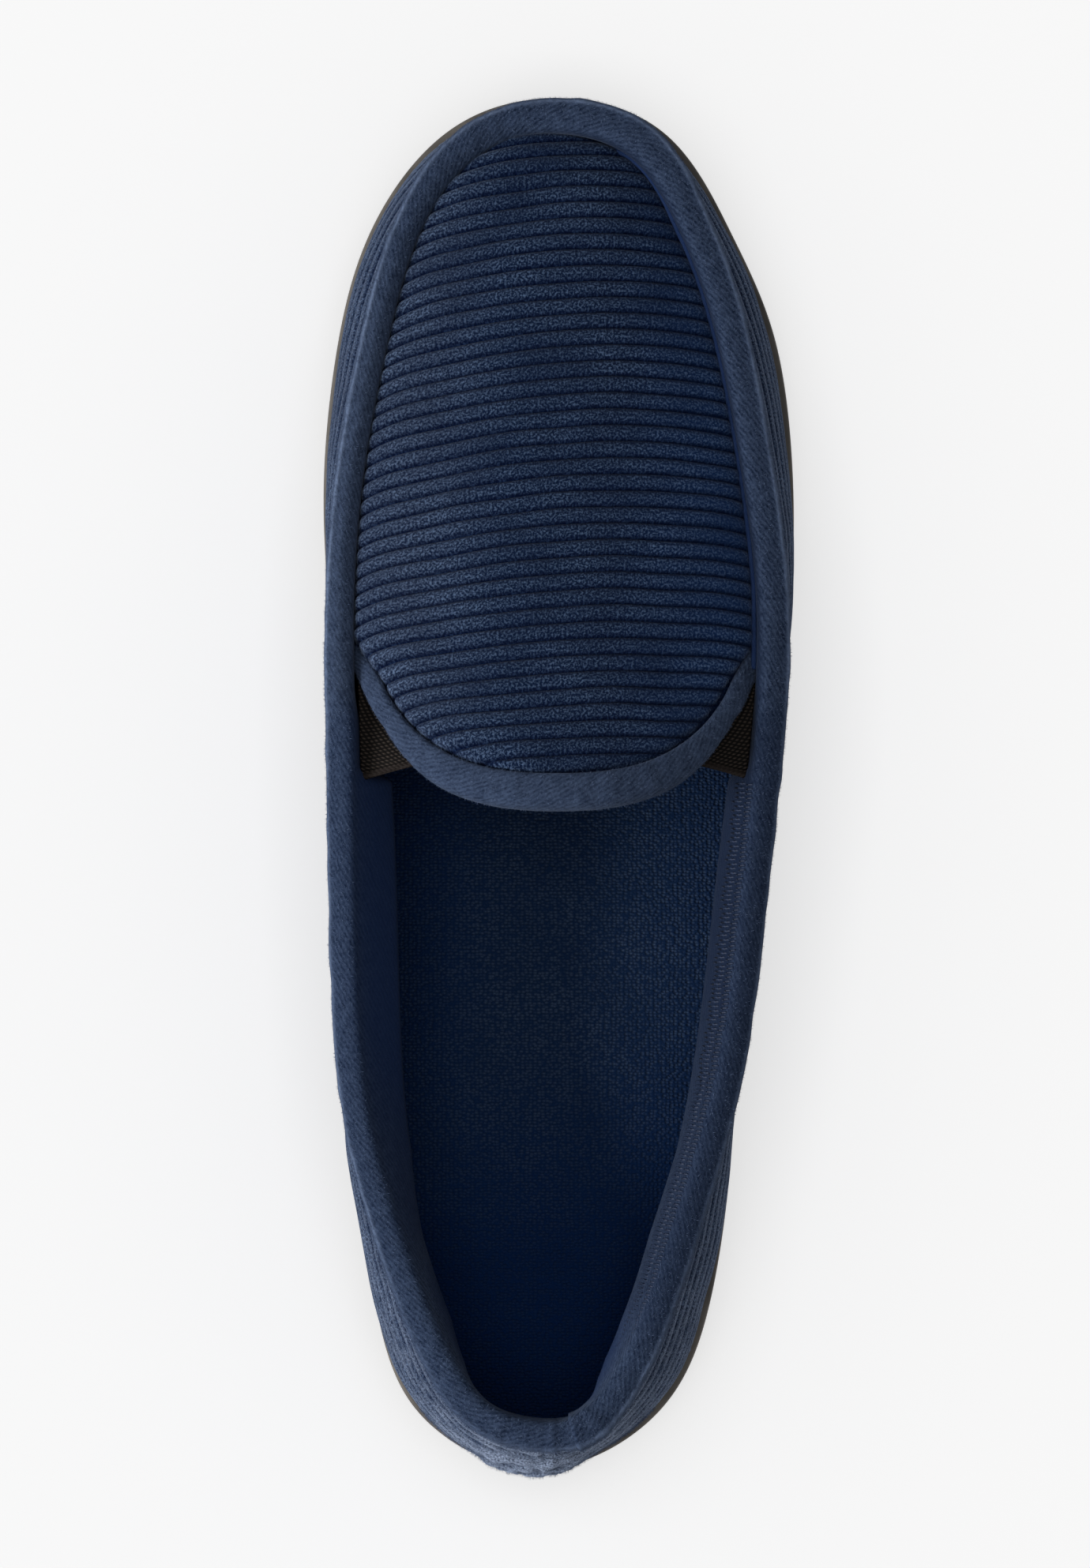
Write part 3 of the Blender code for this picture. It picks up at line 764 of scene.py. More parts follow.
@dataclass(frozen=True)
class Corduroy:
    """Cotton corduroy: cut pile in rounded cords with bare ground between them.

    The pile is matt, soaks up light where it is seen end on, and is coloured darker down into the grooves as
    painted shade, beside the bare ground; its tips catch a pale bloom at low angles.
    """

    crown: str = "#0b172e"
    tips: str = "#506482"
    flank: str = "#1c2b47"
    # Groove colour: the bare ground, and painted shade of the pile
    ground: str = "#040d26"
    # Pale tone of the heel's fray, also used for painted light and painted sheen
    fray_and_light_tone: str = "#b8c6e0"
    bloom: str = "#8f9db6"
    # Painted shade: bluer tint for the pile on the side away from the light
    shade_side_blue: str = "#061b3a"
    tuft_mm: float = 0.5
    patch_mm: float = 16.0

    def material(self) -> bpy.types.Material:
        """Build the material; the cords' height, a painted shade on the side away from the light, and the
        fray with painted light and sheen are marked on the mesh.

        Returns:
            The material.
        """
        made, tree, shader = bare_material("cotton_corduroy")
        chart = add_node(tree, "ShaderNodeUVMap", {"uv_map": CHART}).outputs["UV"]
        cord = add_node(tree, "ShaderNodeAttribute", {"attribute_name": "cord"}).outputs["Fac"]
        fray = add_node(tree, "ShaderNodeAttribute", {"attribute_name": "fray"}).outputs["Fac"]
        # Single tufts are finer than a pixel, so they are drawn as clumps
        tuft = add_node(tree, "ShaderNodeTexNoise", {"Scale": per_metre(self.tuft_mm), "Detail": 3.0,
                                                     "Roughness": 0.75}, {"Vector": chart}).outputs["Fac"]
        patch = add_node(tree, "ShaderNodeTexNoise", {"Scale": per_metre(self.patch_mm), "Detail": 3.0},
                         {"Vector": chart}).outputs["Fac"]
        speckle = add_node(tree, "ShaderNodeMapRange", {"From Min": 0.47, "From Max": 0.63},
                           {"Value": tuft}).outputs[0]
        brushed = add_node(tree, "ShaderNodeMapRange", {"From Min": 0.3, "From Max": 0.75, "To Min": 0.35,
                                                        "To Max": 1.0}, {"Value": patch}).outputs[0]
        amount = add_node(tree, "ShaderNodeMath", TIMES, {0: speckle, 1: brushed}).outputs[0]
        pile = add_node(tree, "ShaderNodeMix", {**COLOURS, 6: linear(self.crown), 7: linear(self.tips)},
                        {0: amount}).outputs[2]
        # Down the cords' flanks the colour turns to the groove colour: partly the bare ground, partly painted
        # shade
        rise = add_node(tree, "ShaderNodeMapRange", {"interpolation_type": "SMOOTHSTEP", "From Min": 0.05,
                                                     "From Max": 0.85}, {"Value": cord}).outputs[0]
        # The flanks of the cords are pile too, so its speckle shows down to the grooves
        deep = add_node(tree, "ShaderNodeMix", {**COLOURS, 6: linear(self.ground),
                                                7: linear(self.flank)}, {0: speckle}).outputs[2]
        ribbed = add_node(tree, "ShaderNodeMix", COLOURS, {0: rise, 6: deep, 7: pile}).outputs[2]
        # Painted shade: a bluer tint added where the pile faces away from the light
        shade_side_blue = add_node(tree, "ShaderNodeAttribute", {"attribute_name": "shade_side_blue"}).outputs["Fac"]
        shade_side_tinted = add_node(tree, "ShaderNodeMix", {**COLOURS, "blend_type": "ADD", 7: linear(self.shade_side_blue)},
                         {0: shade_side_blue, 6: ribbed}).outputs[2]
        # Paler pile tips: the heel's fray, painted sheen on the wall, and painted light on the plug's lit
        # side
        wisp = add_node(tree, "ShaderNodeMapRange", {"From Min": 0.36, "From Max": 0.6},
                        {"Value": tuft}).outputs[0]
        loose = add_node(tree, "ShaderNodeMath", TIMES, {0: fray, 1: wisp}).outputs[0]
        colour = add_node(tree, "ShaderNodeMix", {**COLOURS, 7: linear(self.fray_and_light_tone)},
                          {0: loose, 6: shade_side_tinted}).outputs[2]
        # The tips catch the bloom, and the pile in the grooves hardly does
        bloom = add_node(tree, "ShaderNodeMapRange", {"To Min": 0.06, "To Max": 0.5},
                         {"Value": cord}).outputs[0]
        bump = add_node(tree, "ShaderNodeBump", {"Strength": 0.8, "Distance": 0.4 * MM}, {"Height": tuft})
        tree.links.new(colour, shader.inputs["Base Color"])
        tree.links.new(bloom, shader.inputs["Sheen Weight"])
        tree.links.new(bump.outputs["Normal"], shader.inputs["Normal"])
        set_inputs(shader, Roughness=0.95, IOR=1.46, Specular_IOR_Level=0.02, Sheen_Roughness=0.4,
                   Sheen_Tint=linear(self.bloom))
        return made


@dataclass(frozen=True)
class BrushedTwill:
    """Brushed cotton twill tape: slanting ribs of thread under a short raised nap.

    The ribs show as faint slanting lines among strands of nap; the folded edge is paler, partly for its nap
    and partly as a painted highlight.
    """

    rib: str = "#3b4860"
    valley: str = "#121c2f"
    # Pale nap, also the colour of the painted highlight along the fold
    fibre: str = "#62718c"
    # Darker band under the overlock, also used as painted shade over the collar
    seam: str = "#111b2f"
    # Darker inner-leg cloth; its bluer tone is painted shade
    facing_and_shade: str = "#1a2a4c"
    bloom: str = "#98a6be"
    rib_mm: float = 1.0
    strand_mm: float = 0.38
    strand_stretch: float = 0.5
    tangle_mm: float = 2.4
    slant: float = 28.0

    def material(self) -> bpy.types.Material:
        """Build the material; the tape's fold, seam and inner leg, with their painted highlight and shade,
        are marked on the mesh.

        Returns:
            The material.
        """
        made, tree, shader = bare_material("brushed_cotton_twill")
        chart = add_node(tree, "ShaderNodeUVMap", {"uv_map": CHART}).outputs["UV"]
        turned = add_node(tree, "ShaderNodeMapping", {"Rotation": (0.0, 0.0, math.radians(self.slant - 90))},
                          {"Vector": chart}).outputs[0]
        # The real ribs are about 0.7 mm apart, finer than two pixels, so they are drawn wider
        rib = add_node(tree, "ShaderNodeTexWave", {"Scale": bands(self.rib_mm), "Distortion": 3.5,
                                                   "Detail": 2.0, "Detail Scale": 1.2},
                       {"Vector": turned}).outputs["Fac"]
        drawn = add_node(tree, "ShaderNodeMapping", {"Scale": (1.0, self.strand_stretch, 1.0)},
                         {"Vector": turned}).outputs[0]
        strand = add_node(tree, "ShaderNodeTexNoise", {"Scale": per_metre(self.strand_mm), "Detail": 3.0,
                                                       "Roughness": 0.7}, {"Vector": drawn}).outputs["Fac"]
        tangle = add_node(tree, "ShaderNodeTexNoise", {"Scale": per_metre(self.tangle_mm), "Detail": 4.0,
                                                       "Roughness": 0.65}, {"Vector": chart}).outputs["Fac"]
        threads = add_node(tree, "ShaderNodeMath", {"operation": "MULTIPLY_ADD", 1: 0.16},
                           {0: rib, 2: strand}).outputs[0]
        nap = add_node(tree, "ShaderNodeMath", {"operation": "MULTIPLY_ADD", 1: 0.6},
                       {0: tangle, 2: threads}).outputs[0]
        share = add_node(tree, "ShaderNodeMapRange", {"From Min": 0.64, "From Max": 1.14},
                         {"Value": nap}).outputs[0]
        weave = add_node(tree, "ShaderNodeMix", {**COLOURS, 6: linear(self.valley), 7: linear(self.rib)},
                         {0: share}).outputs[2]
        # The fold is paler, partly for its nap and partly as a painted highlight; the throat tape's paler nap
        # comes in by the same mark
        fold = add_node(tree, "ShaderNodeAttribute", {"attribute_name": "fold"}).outputs["Fac"]
        raised = add_node(tree, "ShaderNodeMath", TIMES, {0: fold, 1: tangle}).outputs[0]
        brushed = add_node(tree, "ShaderNodeMix", {**COLOURS, 7: linear(self.fibre)},
                           {0: raised, 6: weave}).outputs[2]
        # Darker under the overlock, and painted shade over the collar and the outer flank beside the plug
        seam = add_node(tree, "ShaderNodeAttribute", {"attribute_name": "seam"}).outputs["Fac"]
        toned = add_node(tree, "ShaderNodeMix", {**COLOURS, 7: linear(self.seam)},
                        {0: seam, 6: brushed}).outputs[2]
        # Inner-leg colour: a darker cloth with a bluer tone that is painted shade, and painted shade under
        # the heel's roll
        inner = add_node(tree, "ShaderNodeAttribute", {"attribute_name": "inner"}).outputs["Fac"]
        colour = add_node(tree, "ShaderNodeMix", {**COLOURS, 7: linear(self.facing_and_shade)},
                          {0: inner, 6: toned}).outputs[2]
        # The facing side isn't brushed, so it has little bloom
        bloom = add_node(tree, "ShaderNodeMapRange", {"To Min": 0.16, "To Max": 0.02},
                         {"Value": inner}).outputs[0]
        bump = add_node(tree, "ShaderNodeBump", {"Strength": 0.6, "Distance": 0.35 * MM}, {"Height": nap})
        tree.links.new(colour, shader.inputs["Base Color"])
        tree.links.new(bloom, shader.inputs["Sheen Weight"])
        tree.links.new(bump.outputs["Normal"], shader.inputs["Normal"])
        set_inputs(shader, Roughness=0.92, IOR=1.46, Specular_IOR_Level=0.02, Sheen_Roughness=0.45,
                   Sheen_Tint=linear(self.bloom))
        return made


@dataclass(frozen=True)
class Terry:
    """Cotton terry: rows of small uncut loops that shade one another.

    It looks darker than the cloth outside, with a fine pebbled grain in rows.
    """

    loop: str = "#3e4f6a"
    between: str = "#132542"
    # Painted shade of the sock's heel end and inner side
    sock_shade: str = "#05204a"
    bloom: str = "#465774"
    loop_mm: float = 0.9
    row_squeeze: float = 1.35
    patch_mm: float = 14.0

    def material(self) -> bpy.types.Material:
        """Build the material, one cell for each loop; the painted shade at the heel end and the inner side is
        marked on the mesh.

        Returns:
            The material.
        """
        made, tree, shader = bare_material("cotton_terry")
        chart = add_node(tree, "ShaderNodeUVMap", {"uv_map": CHART}).outputs["UV"]
        packed = add_node(tree, "ShaderNodeMapping", {"Scale": (1.0, self.row_squeeze, 1.0)},
                          {"Vector": chart}).outputs[0]
        cell = add_node(tree, "ShaderNodeTexVoronoi", {"Scale": per_metre(self.loop_mm), "Randomness": 0.55},
                        {"Vector": packed}).outputs["Distance"]
        patch = add_node(tree, "ShaderNodeTexNoise", {"Scale": per_metre(self.patch_mm), "Detail": 3.0},
                         {"Vector": chart}).outputs["Fac"]
        dome = add_node(tree, "ShaderNodeMapRange", {"From Min": 0.1, "From Max": 0.65, "To Min": 1.0,
                                                     "To Max": 0.0}, {"Value": cell}).outputs[0]
        lit = add_node(tree, "ShaderNodeMapRange", {"From Min": 0.3, "From Max": 0.7, "To Min": 0.55,
                                                    "To Max": 1.0}, {"Value": patch}).outputs[0]
        share = add_node(tree, "ShaderNodeMath", TIMES, {0: dome, 1: lit}).outputs[0]
        fluffy = add_node(tree, "ShaderNodeMix", {**COLOURS, 6: linear(self.between), 7: linear(self.loop)},
                          {0: share}).outputs[2]
        # Painted shade: darker at the heel end and along the inner side
        flat = add_node(tree, "ShaderNodeAttribute", {"attribute_name": "sock_shade"}).outputs["Fac"]
        colour = add_node(tree, "ShaderNodeMix", {**COLOURS, 7: linear(self.sock_shade)},
                          {0: flat, 6: fluffy}).outputs[2]
        bump = add_node(tree, "ShaderNodeBump", {"Strength": 0.8, "Distance": 0.6 * MM}, {"Height": dome})
        tree.links.new(colour, shader.inputs["Base Color"])
        tree.links.new(bump.outputs["Normal"], shader.inputs["Normal"])
        set_inputs(shader, Roughness=0.97, IOR=1.46, Specular_IOR_Level=0.03, Sheen_Weight=0.12,
                   Sheen_Roughness=0.5, Sheen_Tint=linear(self.bloom))
        return made


@dataclass(frozen=True)
class ElasticWeb:
    """Knitted elastic web: covered rubber threads in fine ribs, black-brown with a flat selvedge.

    The ribs run the way it stretches, and the covering yarn glints a little.
    """

    yarn: str = "#3f3833"
    gap: str = "#060505"
    selvedge: str = "#241f1d"
    rib_mm: float = 1.0
    knot_mm: float = 0.8

    def material(self) -> bpy.types.Material:
        """Build the material; the selvedge is marked on the mesh.

        Returns:
            The material.
        """
        made, tree, shader = bare_material("knitted_elastic")
        chart = add_node(tree, "ShaderNodeUVMap", {"uv_map": CHART}).outputs["UV"]
        edge = add_node(tree, "ShaderNodeAttribute", {"attribute_name": "selvedge"}).outputs["Fac"]
        rib = add_node(tree, "ShaderNodeTexWave", {"Scale": bands(self.rib_mm), "Distortion": 0.6},
                       {"Vector": chart}).outputs["Fac"]
        knot = add_node(tree, "ShaderNodeTexWave", {"bands_direction": "Y", "Scale": bands(self.knot_mm),
                                                    "Distortion": 1.5}, {"Vector": chart}).outputs["Fac"]
        stitch = add_node(tree, "ShaderNodeMath", TIMES, {0: rib, 1: knot}).outputs[0]
        knit = add_node(tree, "ShaderNodeMix", {**COLOURS, 6: linear(self.gap), 7: linear(self.yarn)},
                        {0: stitch}).outputs[2]
        colour = add_node(tree, "ShaderNodeMix", {**COLOURS, 7: linear(self.selvedge)},
                          {0: edge, 6: knit}).outputs[2]
        bump = add_node(tree, "ShaderNodeBump", {"Strength": 0.7, "Distance": 0.3 * MM}, {"Height": stitch})
        tree.links.new(colour, shader.inputs["Base Color"])
        tree.links.new(bump.outputs["Normal"], shader.inputs["Normal"])
        set_inputs(shader, Roughness=0.7, IOR=1.5, Specular_IOR_Level=0.08)
        return made


@dataclass(frozen=True)
class SoleRubber:
    """Blown rubber, moulded with a fine stipple: brown-black and matt, paler along the lip as a painted
    highlight.

    The stipple breaks up the light, and a painted highlight shows as a grey-brown line along the lip's
    rounded edge.
    """

    body: str = "#211e1b"
    # Painted highlight along the lip's rounded edge
    lip_highlight_tone: str = "#625d57"
    stipple_mm: float = 0.7
    cloud_mm: float = 12.0

    def material(self) -> bpy.types.Material:
        """Build the material; the painted highlight along the lip is marked on the mesh.

        Returns:
            The material.
        """
        made, tree, shader = bare_material("blown_rubber")
        place = add_node(tree, "ShaderNodeTexCoord").outputs["Object"]
        rub = add_node(tree, "ShaderNodeAttribute", {"attribute_name": "rub"}).outputs["Fac"]
        stipple = add_node(tree, "ShaderNodeTexNoise", {"Scale": per_metre(self.stipple_mm), "Detail": 2.0},
                           {"Vector": place}).outputs["Fac"]
        cloud = add_node(tree, "ShaderNodeTexNoise", {"Scale": per_metre(self.cloud_mm), "Detail": 4.0},
                         {"Vector": place}).outputs["Fac"]
        # Painted highlight along the lip, broken up by the clouds
        highlight_level = add_node(tree, "ShaderNodeMath", TIMES, {0: rub, 1: cloud}).outputs[0]
        amount = add_node(tree, "ShaderNodeMapRange", {"From Min": 0.12, "From Max": 0.6},
                          {"Value": highlight_level}).outputs[0]
        colour = add_node(tree, "ShaderNodeMix", {**COLOURS, 6: linear(self.body), 7: linear(self.lip_highlight_tone)},
                          {0: amount}).outputs[2]
        matt = add_node(tree, "ShaderNodeMapRange", {"To Min": 0.5, "To Max": 0.75},
                        {"Value": cloud}).outputs[0]
        bump = add_node(tree, "ShaderNodeBump", {"Strength": 0.3, "Distance": 0.2 * MM}, {"Height": stipple})
        tree.links.new(colour, shader.inputs["Base Color"])
        tree.links.new(matt, shader.inputs["Roughness"])
        tree.links.new(bump.outputs["Normal"], shader.inputs["Normal"])
        set_inputs(shader, IOR=1.52, Specular_IOR_Level=0.4)
        return made


@dataclass(frozen=True)
class SewingThread:
    """Spun polyester sewing thread: two plies twisted, with a soft gloss along the twist."""

    light: str = "#25324b"
    dark: str = "#0f1a30"
    twist_mm: float = 0.8
    twist_slant: float = 35.0

    def material(self) -> bpy.types.Material:
        """Build the material along the thread.

        Returns:
            The material.
        """
        made, tree, shader = bare_material("spun_thread")
        chart = add_node(tree, "ShaderNodeUVMap", {"uv_map": CHART}).outputs["UV"]
        slant = (0.0, 0.0, math.radians(self.twist_slant))
        turned = add_node(tree, "ShaderNodeMapping", {"Rotation": slant}, {"Vector": chart})
        ply = add_node(tree, "ShaderNodeTexWave", {"Scale": bands(self.twist_mm), "Distortion": 1.0},
                       {"Vector": turned.outputs[0]}).outputs["Fac"]
        colour = add_node(tree, "ShaderNodeMix", {**COLOURS, 6: linear(self.dark), 7: linear(self.light)},
                          {0: ply}).outputs[2]
        tree.links.new(colour, shader.inputs["Base Color"])
        set_inputs(shader, Roughness=0.6, IOR=1.54, Specular_IOR_Level=0.3)
        return made


@dataclass(frozen=True)
class LooseFibre:
    """Loose cotton fibre: matt and pale where the dye has worn thin, so that edges look soft."""

    pale: str = "#5b6a86"
    dark: str = "#27344e"

    def material(self) -> bpy.types.Material:
        """Build the material; each fibre's own shade is marked on the mesh.

        Returns:
            The material.
        """
        made, tree, shader = bare_material("loose_cotton_fibre")
        shade = add_node(tree, "ShaderNodeAttribute", {"attribute_name": "shade"}).outputs["Fac"]
        colour = add_node(tree, "ShaderNodeMix", {**COLOURS, 6: linear(self.dark), 7: linear(self.pale)},
                          {0: shade}).outputs[2]
        tree.links.new(colour, shader.inputs["Base Color"])
        set_inputs(shader, Roughness=0.9, IOR=1.5, Specular_IOR_Level=0.1)
        return made


@dataclass(frozen=True)
class LightTable:
    """Opal acrylic of a product table, lit from below: an even, near-white floor with faint shadows."""

    tone: str = "#f4f4f4"
    glow: float = 0.57
    grain_mm: float = 2.0

    def material(self) -> bpy.types.Material:
        """Build the material.

        Returns:
            The material.
        """
        made, tree, shader = bare_material("opal_acrylic")
        place = add_node(tree, "ShaderNodeTexCoord").outputs["Object"]
        grain = add_node(tree, "ShaderNodeTexNoise", {"Scale": per_metre(self.grain_mm), "Detail": 3.0},
                         {"Vector": place})
        bump = add_node(tree, "ShaderNodeBump", {"Strength": 0.03, "Distance": 0.1 * MM},
                        {"Height": grain.outputs["Fac"]})
        tree.links.new(bump.outputs["Normal"], shader.inputs["Normal"])
        set_inputs(shader, Base_Color=linear(self.tone), Roughness=0.95, Specular_IOR_Level=0.0,
                   Emission_Color=linear(self.tone), Emission_Strength=self.glow)
        return made


def dress(piece: bpy.types.Object, finish: bpy.types.Material, slot: str, *nodes: str) -> bpy.types.Object:
    """Give a piece its finish and its place in the model.

    Args:
        piece: The piece.
        finish: Its material.
        slot: The record's material slot; not used.
        nodes: Solids that the piece stands for.

    Returns:
        The same piece.
    """
    piece.data.materials.append(finish)
    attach(piece, "root")
    if nodes:
        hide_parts(*nodes)
    LOG.info("%s: %d faces, %s", piece.name, len(piece.data.polygons), finish.name)
    return piece


@dataclass
class Nap:
    """Loose fibres that stand off a cloth, bent over at random; each stands for a wisp of real ones."""

    name: str
    count: int
    length: float
    width: float = 0.05 * MM
    seed: int = 1

    def build(self, cloth: Sequence[Array], rows: tuple[float, float], finish: bpy.types.Material, slot: str,
              *nodes: str) -> None:
        """Make the fibres as one mesh.

        Args:
            cloth: Tables of points that the fibres stand on.
            rows: First and last row that carry fibres, as shares of each table.
            finish: Material of the fibres.
            slot: The record's material slot.
            nodes: Solids that the fibres belong to.
        """
        draw = np.random.default_rng(self.seed)
        runs = [run_length(points, 1)[:, -1].mean() for points in cloth]
        corners, shades = [], []
        for points, run in zip(cloth, runs):
            count = int(self.count * run / sum(runs))
            row = draw.uniform(*rows, count) * (points.shape[0] - 1)
            column = draw.uniform(0, points.shape[1] - 1, count)
            root, out = between(points, row, column), unit(between(normals_of(points), row, column))
            drift = draw.normal(size=(count, 3))
            lay = unit(drift - out * np.sum(drift * out, axis=1, keepdims=True))
            length = self.length * draw.uniform(0.35, 1.0, (count, 1))
            half = np.cross(out, lay) * self.width / 2
            middle = root + length * (0.4 * out + 0.3 * lay)
            tip = root + length * (0.55 * out + 0.8 * lay)
            corners.append(np.stack((root - half, root + half, middle + half, middle - half, tip), axis=1))
            shades.append(np.repeat(draw.uniform(0, 1, count), 5))
        points = np.concatenate(corners).reshape(-1, 3)
        start = np.arange(0, len(points), 5)[:, None]
        faces = (start + np.array((0, 1, 2, 3))).tolist() + (start + np.array((3, 2, 4))).tolist()
        piece = new_piece(self.name, points, faces, marks={"shade": np.concatenate(shades)})
        dress(piece, finish, slot, *nodes)


@dataclass
class Outsole:
    """Moulded rubber sole with a lip round the upper, a stepped side and a ribbed tread."""

    last: Last
    lip_height: float = 3.0 * MM
    lip_step: float = 0.9 * MM
    edge_round: float = 0.8 * MM
    tread_round: float = 1.6 * MM
    rib_pitch: float = 7.0 * MM
    rib_depth: float = 1.0 * MM
    rib_wave: float = 4.0 * MM
    wave_length: float = 14 * MM
    rib_edges: tuple[float, float] = (0.62, 0.78)
    tread_border: float = 7.0 * MM
    top_reach: float = 6 * MM
    # Painted highlight: its strength on the lip's edge, the extra at the outer heel, and on the top face
    highlight_level: float = 0.8
    heel_highlight: float = 0.4
    low_highlight: float = 0.55
    stations: int = 480

    def side(self) -> tuple[Array, Array, Array]:
        """Side from the tread's edge to the top face.

        Returns:
            Points by level and station, cloth coordinates, and the painted highlight along the lip.
        """
        last = self.last
        places = last.places(self.stations)
        corner = np.linspace(0, 0.5 * np.pi, 5)
        low = [(self.lip_step + self.tread_round * (1 - math.sin(a)), 0, self.tread_round * (1 - math.cos(a)))
               for a in corner]
        step, depth = self.lip_step, self.lip_height
        under_lip = [(step, 1, -depth - step - 0.5 * MM), (step, 1, -depth - step),
                     (step * 0.5, 1, -depth - step * 0.35), (0.0, 1, -depth)]
        lip = [(0.0, 1, -self.lip_height * 0.6)]
        lip += [(self.edge_round * (1 - math.cos(a)), 1, self.edge_round * (math.sin(a) - 1)) for a in corner]
        top = [(last.ledge + 1.5 * MM, 1, 0.0), (last.ledge + self.top_reach, 1, 0.0)]
        rows, rub = [], []
        for inset, face, rise in low + under_lip + lip + top:
            edge, _ = last.sole_edge(places, inset)
            height = last.sole_top(edge[:, 1]) if face else last.sole_bottom(edge[:, 1])
            rows.append(np.column_stack((edge, height + rise)))
            # Painted highlight: paler along the lip's rounded edge, more at the outer heel
            heel = outer_share(edge[:, 0]) * smooth_step(-edge[:, 1], 95 * MM, 125 * MM)
            toned = self.highlight_level + self.heel_highlight * heel
            rub.append(toned * (0.0 if not face else 1.0 if inset < self.edge_round else self.low_highlight))
        points = np.array(rows)
        return points, round_chart(points), np.array(rub)

    def tread(self) -> tuple[Array, Array]:
        """Underside with waved ribs across the foot inside a plain border.

        Returns:
            Points by row and column, and cloth coordinates.
        """
        plan, rim = self.last.sole_plan(self.lip_step + self.tread_round, 260, np.linspace(0, 1, 64))
        x, y = plan[..., 0], plan[..., 1]
        inside = smooth_step(rim, self.tread_border - 2 * MM, self.tread_border)
        wave = (y + self.rib_wave * np.abs((x / self.wave_length % 1) * 2 - 1)) / self.rib_pitch
        groove = smooth_step(np.abs((wave % 1) * 2 - 1), *self.rib_edges)
        height = self.last.sole_bottom(y) + self.rib_depth * groove * inside
        return np.stack((x, y, height), axis=-1), plan

    def build(self, finish: bpy.types.Material) -> None:
        """Make the sole's side and tread.

        Args:
            finish: The sole's rubber.
        """
        points, chart, rub = self.side()
        body = sheet("outsole_side", points, chart, Loop.CLOSED, marks={"rub": rub})
        dress(body, finish, "sole_rubber", "outsole")
        points, chart = self.tread()
        dress(sheet("outsole_tread", points[::-1], chart[::-1]), finish, "sole_rubber", "outsole")


@dataclass
class Insole:
    """Cushioned sock under the foot, a little dished at heel and ball."""

    last: Last
    thickness: float = 5.0 * MM
    rounding: float = 3.0 * MM
    gap: float = 0.3 * MM
    dish: float = 0.9 * MM
    edge_fall: float = 0.7
    heel_seat: float = -105 * MM
    heel_run: float = 32 * MM
    ball_seat: float = 55 * MM
    ball_run: float = 38 * MM
    ball_dish: float = 0.8
    unevenness: float = 0.25 * MM
    # Painted shade: how dark the heel end and the inner side get
    heel_shade: float = 0.75
    side_shade: float = 0.4

    def build(self, finish: bpy.types.Material) -> None:
        """Make the sock's upper face with its rounded edge.

        Args:
            finish: The sock's terry.
        """
        last = self.last
        share = (1 - np.cos(np.linspace(0, 1, 60) * np.pi)) / 2
        plan, rim = last.sole_plan(last.ledge + last.wall + self.gap, 240, share)
        x, y = plan[..., 0], plan[..., 1]
        edge = np.clip(rim / self.rounding, 0, 1)
        heel = np.exp(-((y - self.heel_seat) / self.heel_run) ** 2)
        ball = np.exp(-((y - self.ball_seat) / self.ball_run) ** 2)
        hollow = heel + self.ball_dish * ball
        middle = np.clip(1 - (2 * np.abs(share - 0.5)) ** 2, 0, 1)
        height = last.sole_top(y) + last.seat_gap + self.thickness
        height = height - self.rounding * self.edge_fall * (1 - np.sqrt(1 - (1 - edge) ** 2))
        height = height - self.dish * hollow * middle
        height = height + self.unevenness * cloth_noise(x, y, 9 * MM, 3)
        points = np.stack((x, y, height), axis=-1)
        # Painted shade: darker towards the heel and along the inner side, where the walls shade the sock
        seat = self.heel_shade * smooth_step(-y, 45 * MM, 115 * MM)
        sock_shade = np.maximum(seat, self.side_shade * (1 - smooth_step(x, -32 * MM, -8 * MM)))
        piece = sheet("insole_sock", points[::-1], plan[::-1], marks={"sock_shade": sock_shade[::-1]})
        dress(piece, finish, "sock_terry", "insole")


def cord_offset(phase: Array) -> Array:
    """Distance from a cord's middle: 0 on its crown, 1 in the grooves at whole numbers."""
    return np.abs(2 * (phase - np.floor(phase)) - 1)


def cord_profile(phase: Array) -> Array:
    """Height share of one corduroy cord: 0 in the grooves, 1 on the crown."""
    return np.sqrt(np.maximum(1 - cord_offset(phase) ** 2.4, 0))


def cord_tone(phase: Array) -> Array:
    """How far the pile of one cord stands out of the shade: 0 in the grooves, 1 on the crown."""
    return 1 - cord_offset(phase) ** 1.7


def inside_outline(x: Array, y: Array, outline: Array) -> Array:
    """Whether plan points lie inside a closed outline.

    Args:
        x: Across, of any shape.
        y: Along.
        outline: Corner points in order.

    Returns:
        True or false for each point.
    """
    within = np.zeros(np.shape(x), dtype=bool)
    for (x0, y0), (x1, y1) in zip(outline, np.roll(outline, -1, axis=0)):
        if y0 == y1:
            continue
        crosses = (y0 > y) != (y1 > y)
        within ^= crosses & (x < (x1 - x0) * (y - y0) / (y1 - y0) + x0)
    return within


def distance_to(x: Array, y: Array, line: Array) -> Array:
    """Shortest plan distance to the points of a fine line.

    Args:
        x: Across, of any shape.
        y: Along.
        line: Points of the line.

    Returns:
        Distances in metres.
    """
    nearest = np.full(np.shape(x), np.inf)
    for spot in line:
        nearest = np.minimum(nearest, (x - spot[0]) ** 2 + (y - spot[1]) ** 2)
    return np.sqrt(nearest)


def throat_tuck(along: Array) -> Array:
    """How far the throat tape's ends move out under the collar tape, by place along the shoe."""
    return 4.4 * MM * smooth_step(along, 18 * MM, 36 * MM)


def toe_shift(along: Array) -> Array:
    """How far the collar tape moves out over the toe, by place along the shoe."""
    return 1.0 * MM * smooth_step(along, 118 * MM, 140 * MM)


def outer_share(across: Array) -> Array:
    """How far a place belongs to the outer side: 0 on the inner side, 1 on the outer."""
    return smooth_step(across, -15 * MM, 15 * MM)


def tape_share(across: Array) -> Array:
    """Share of the collar tape's width beside the plug that shows, less on the inner side."""
    return 0.78 + 0.22 * outer_share(across)


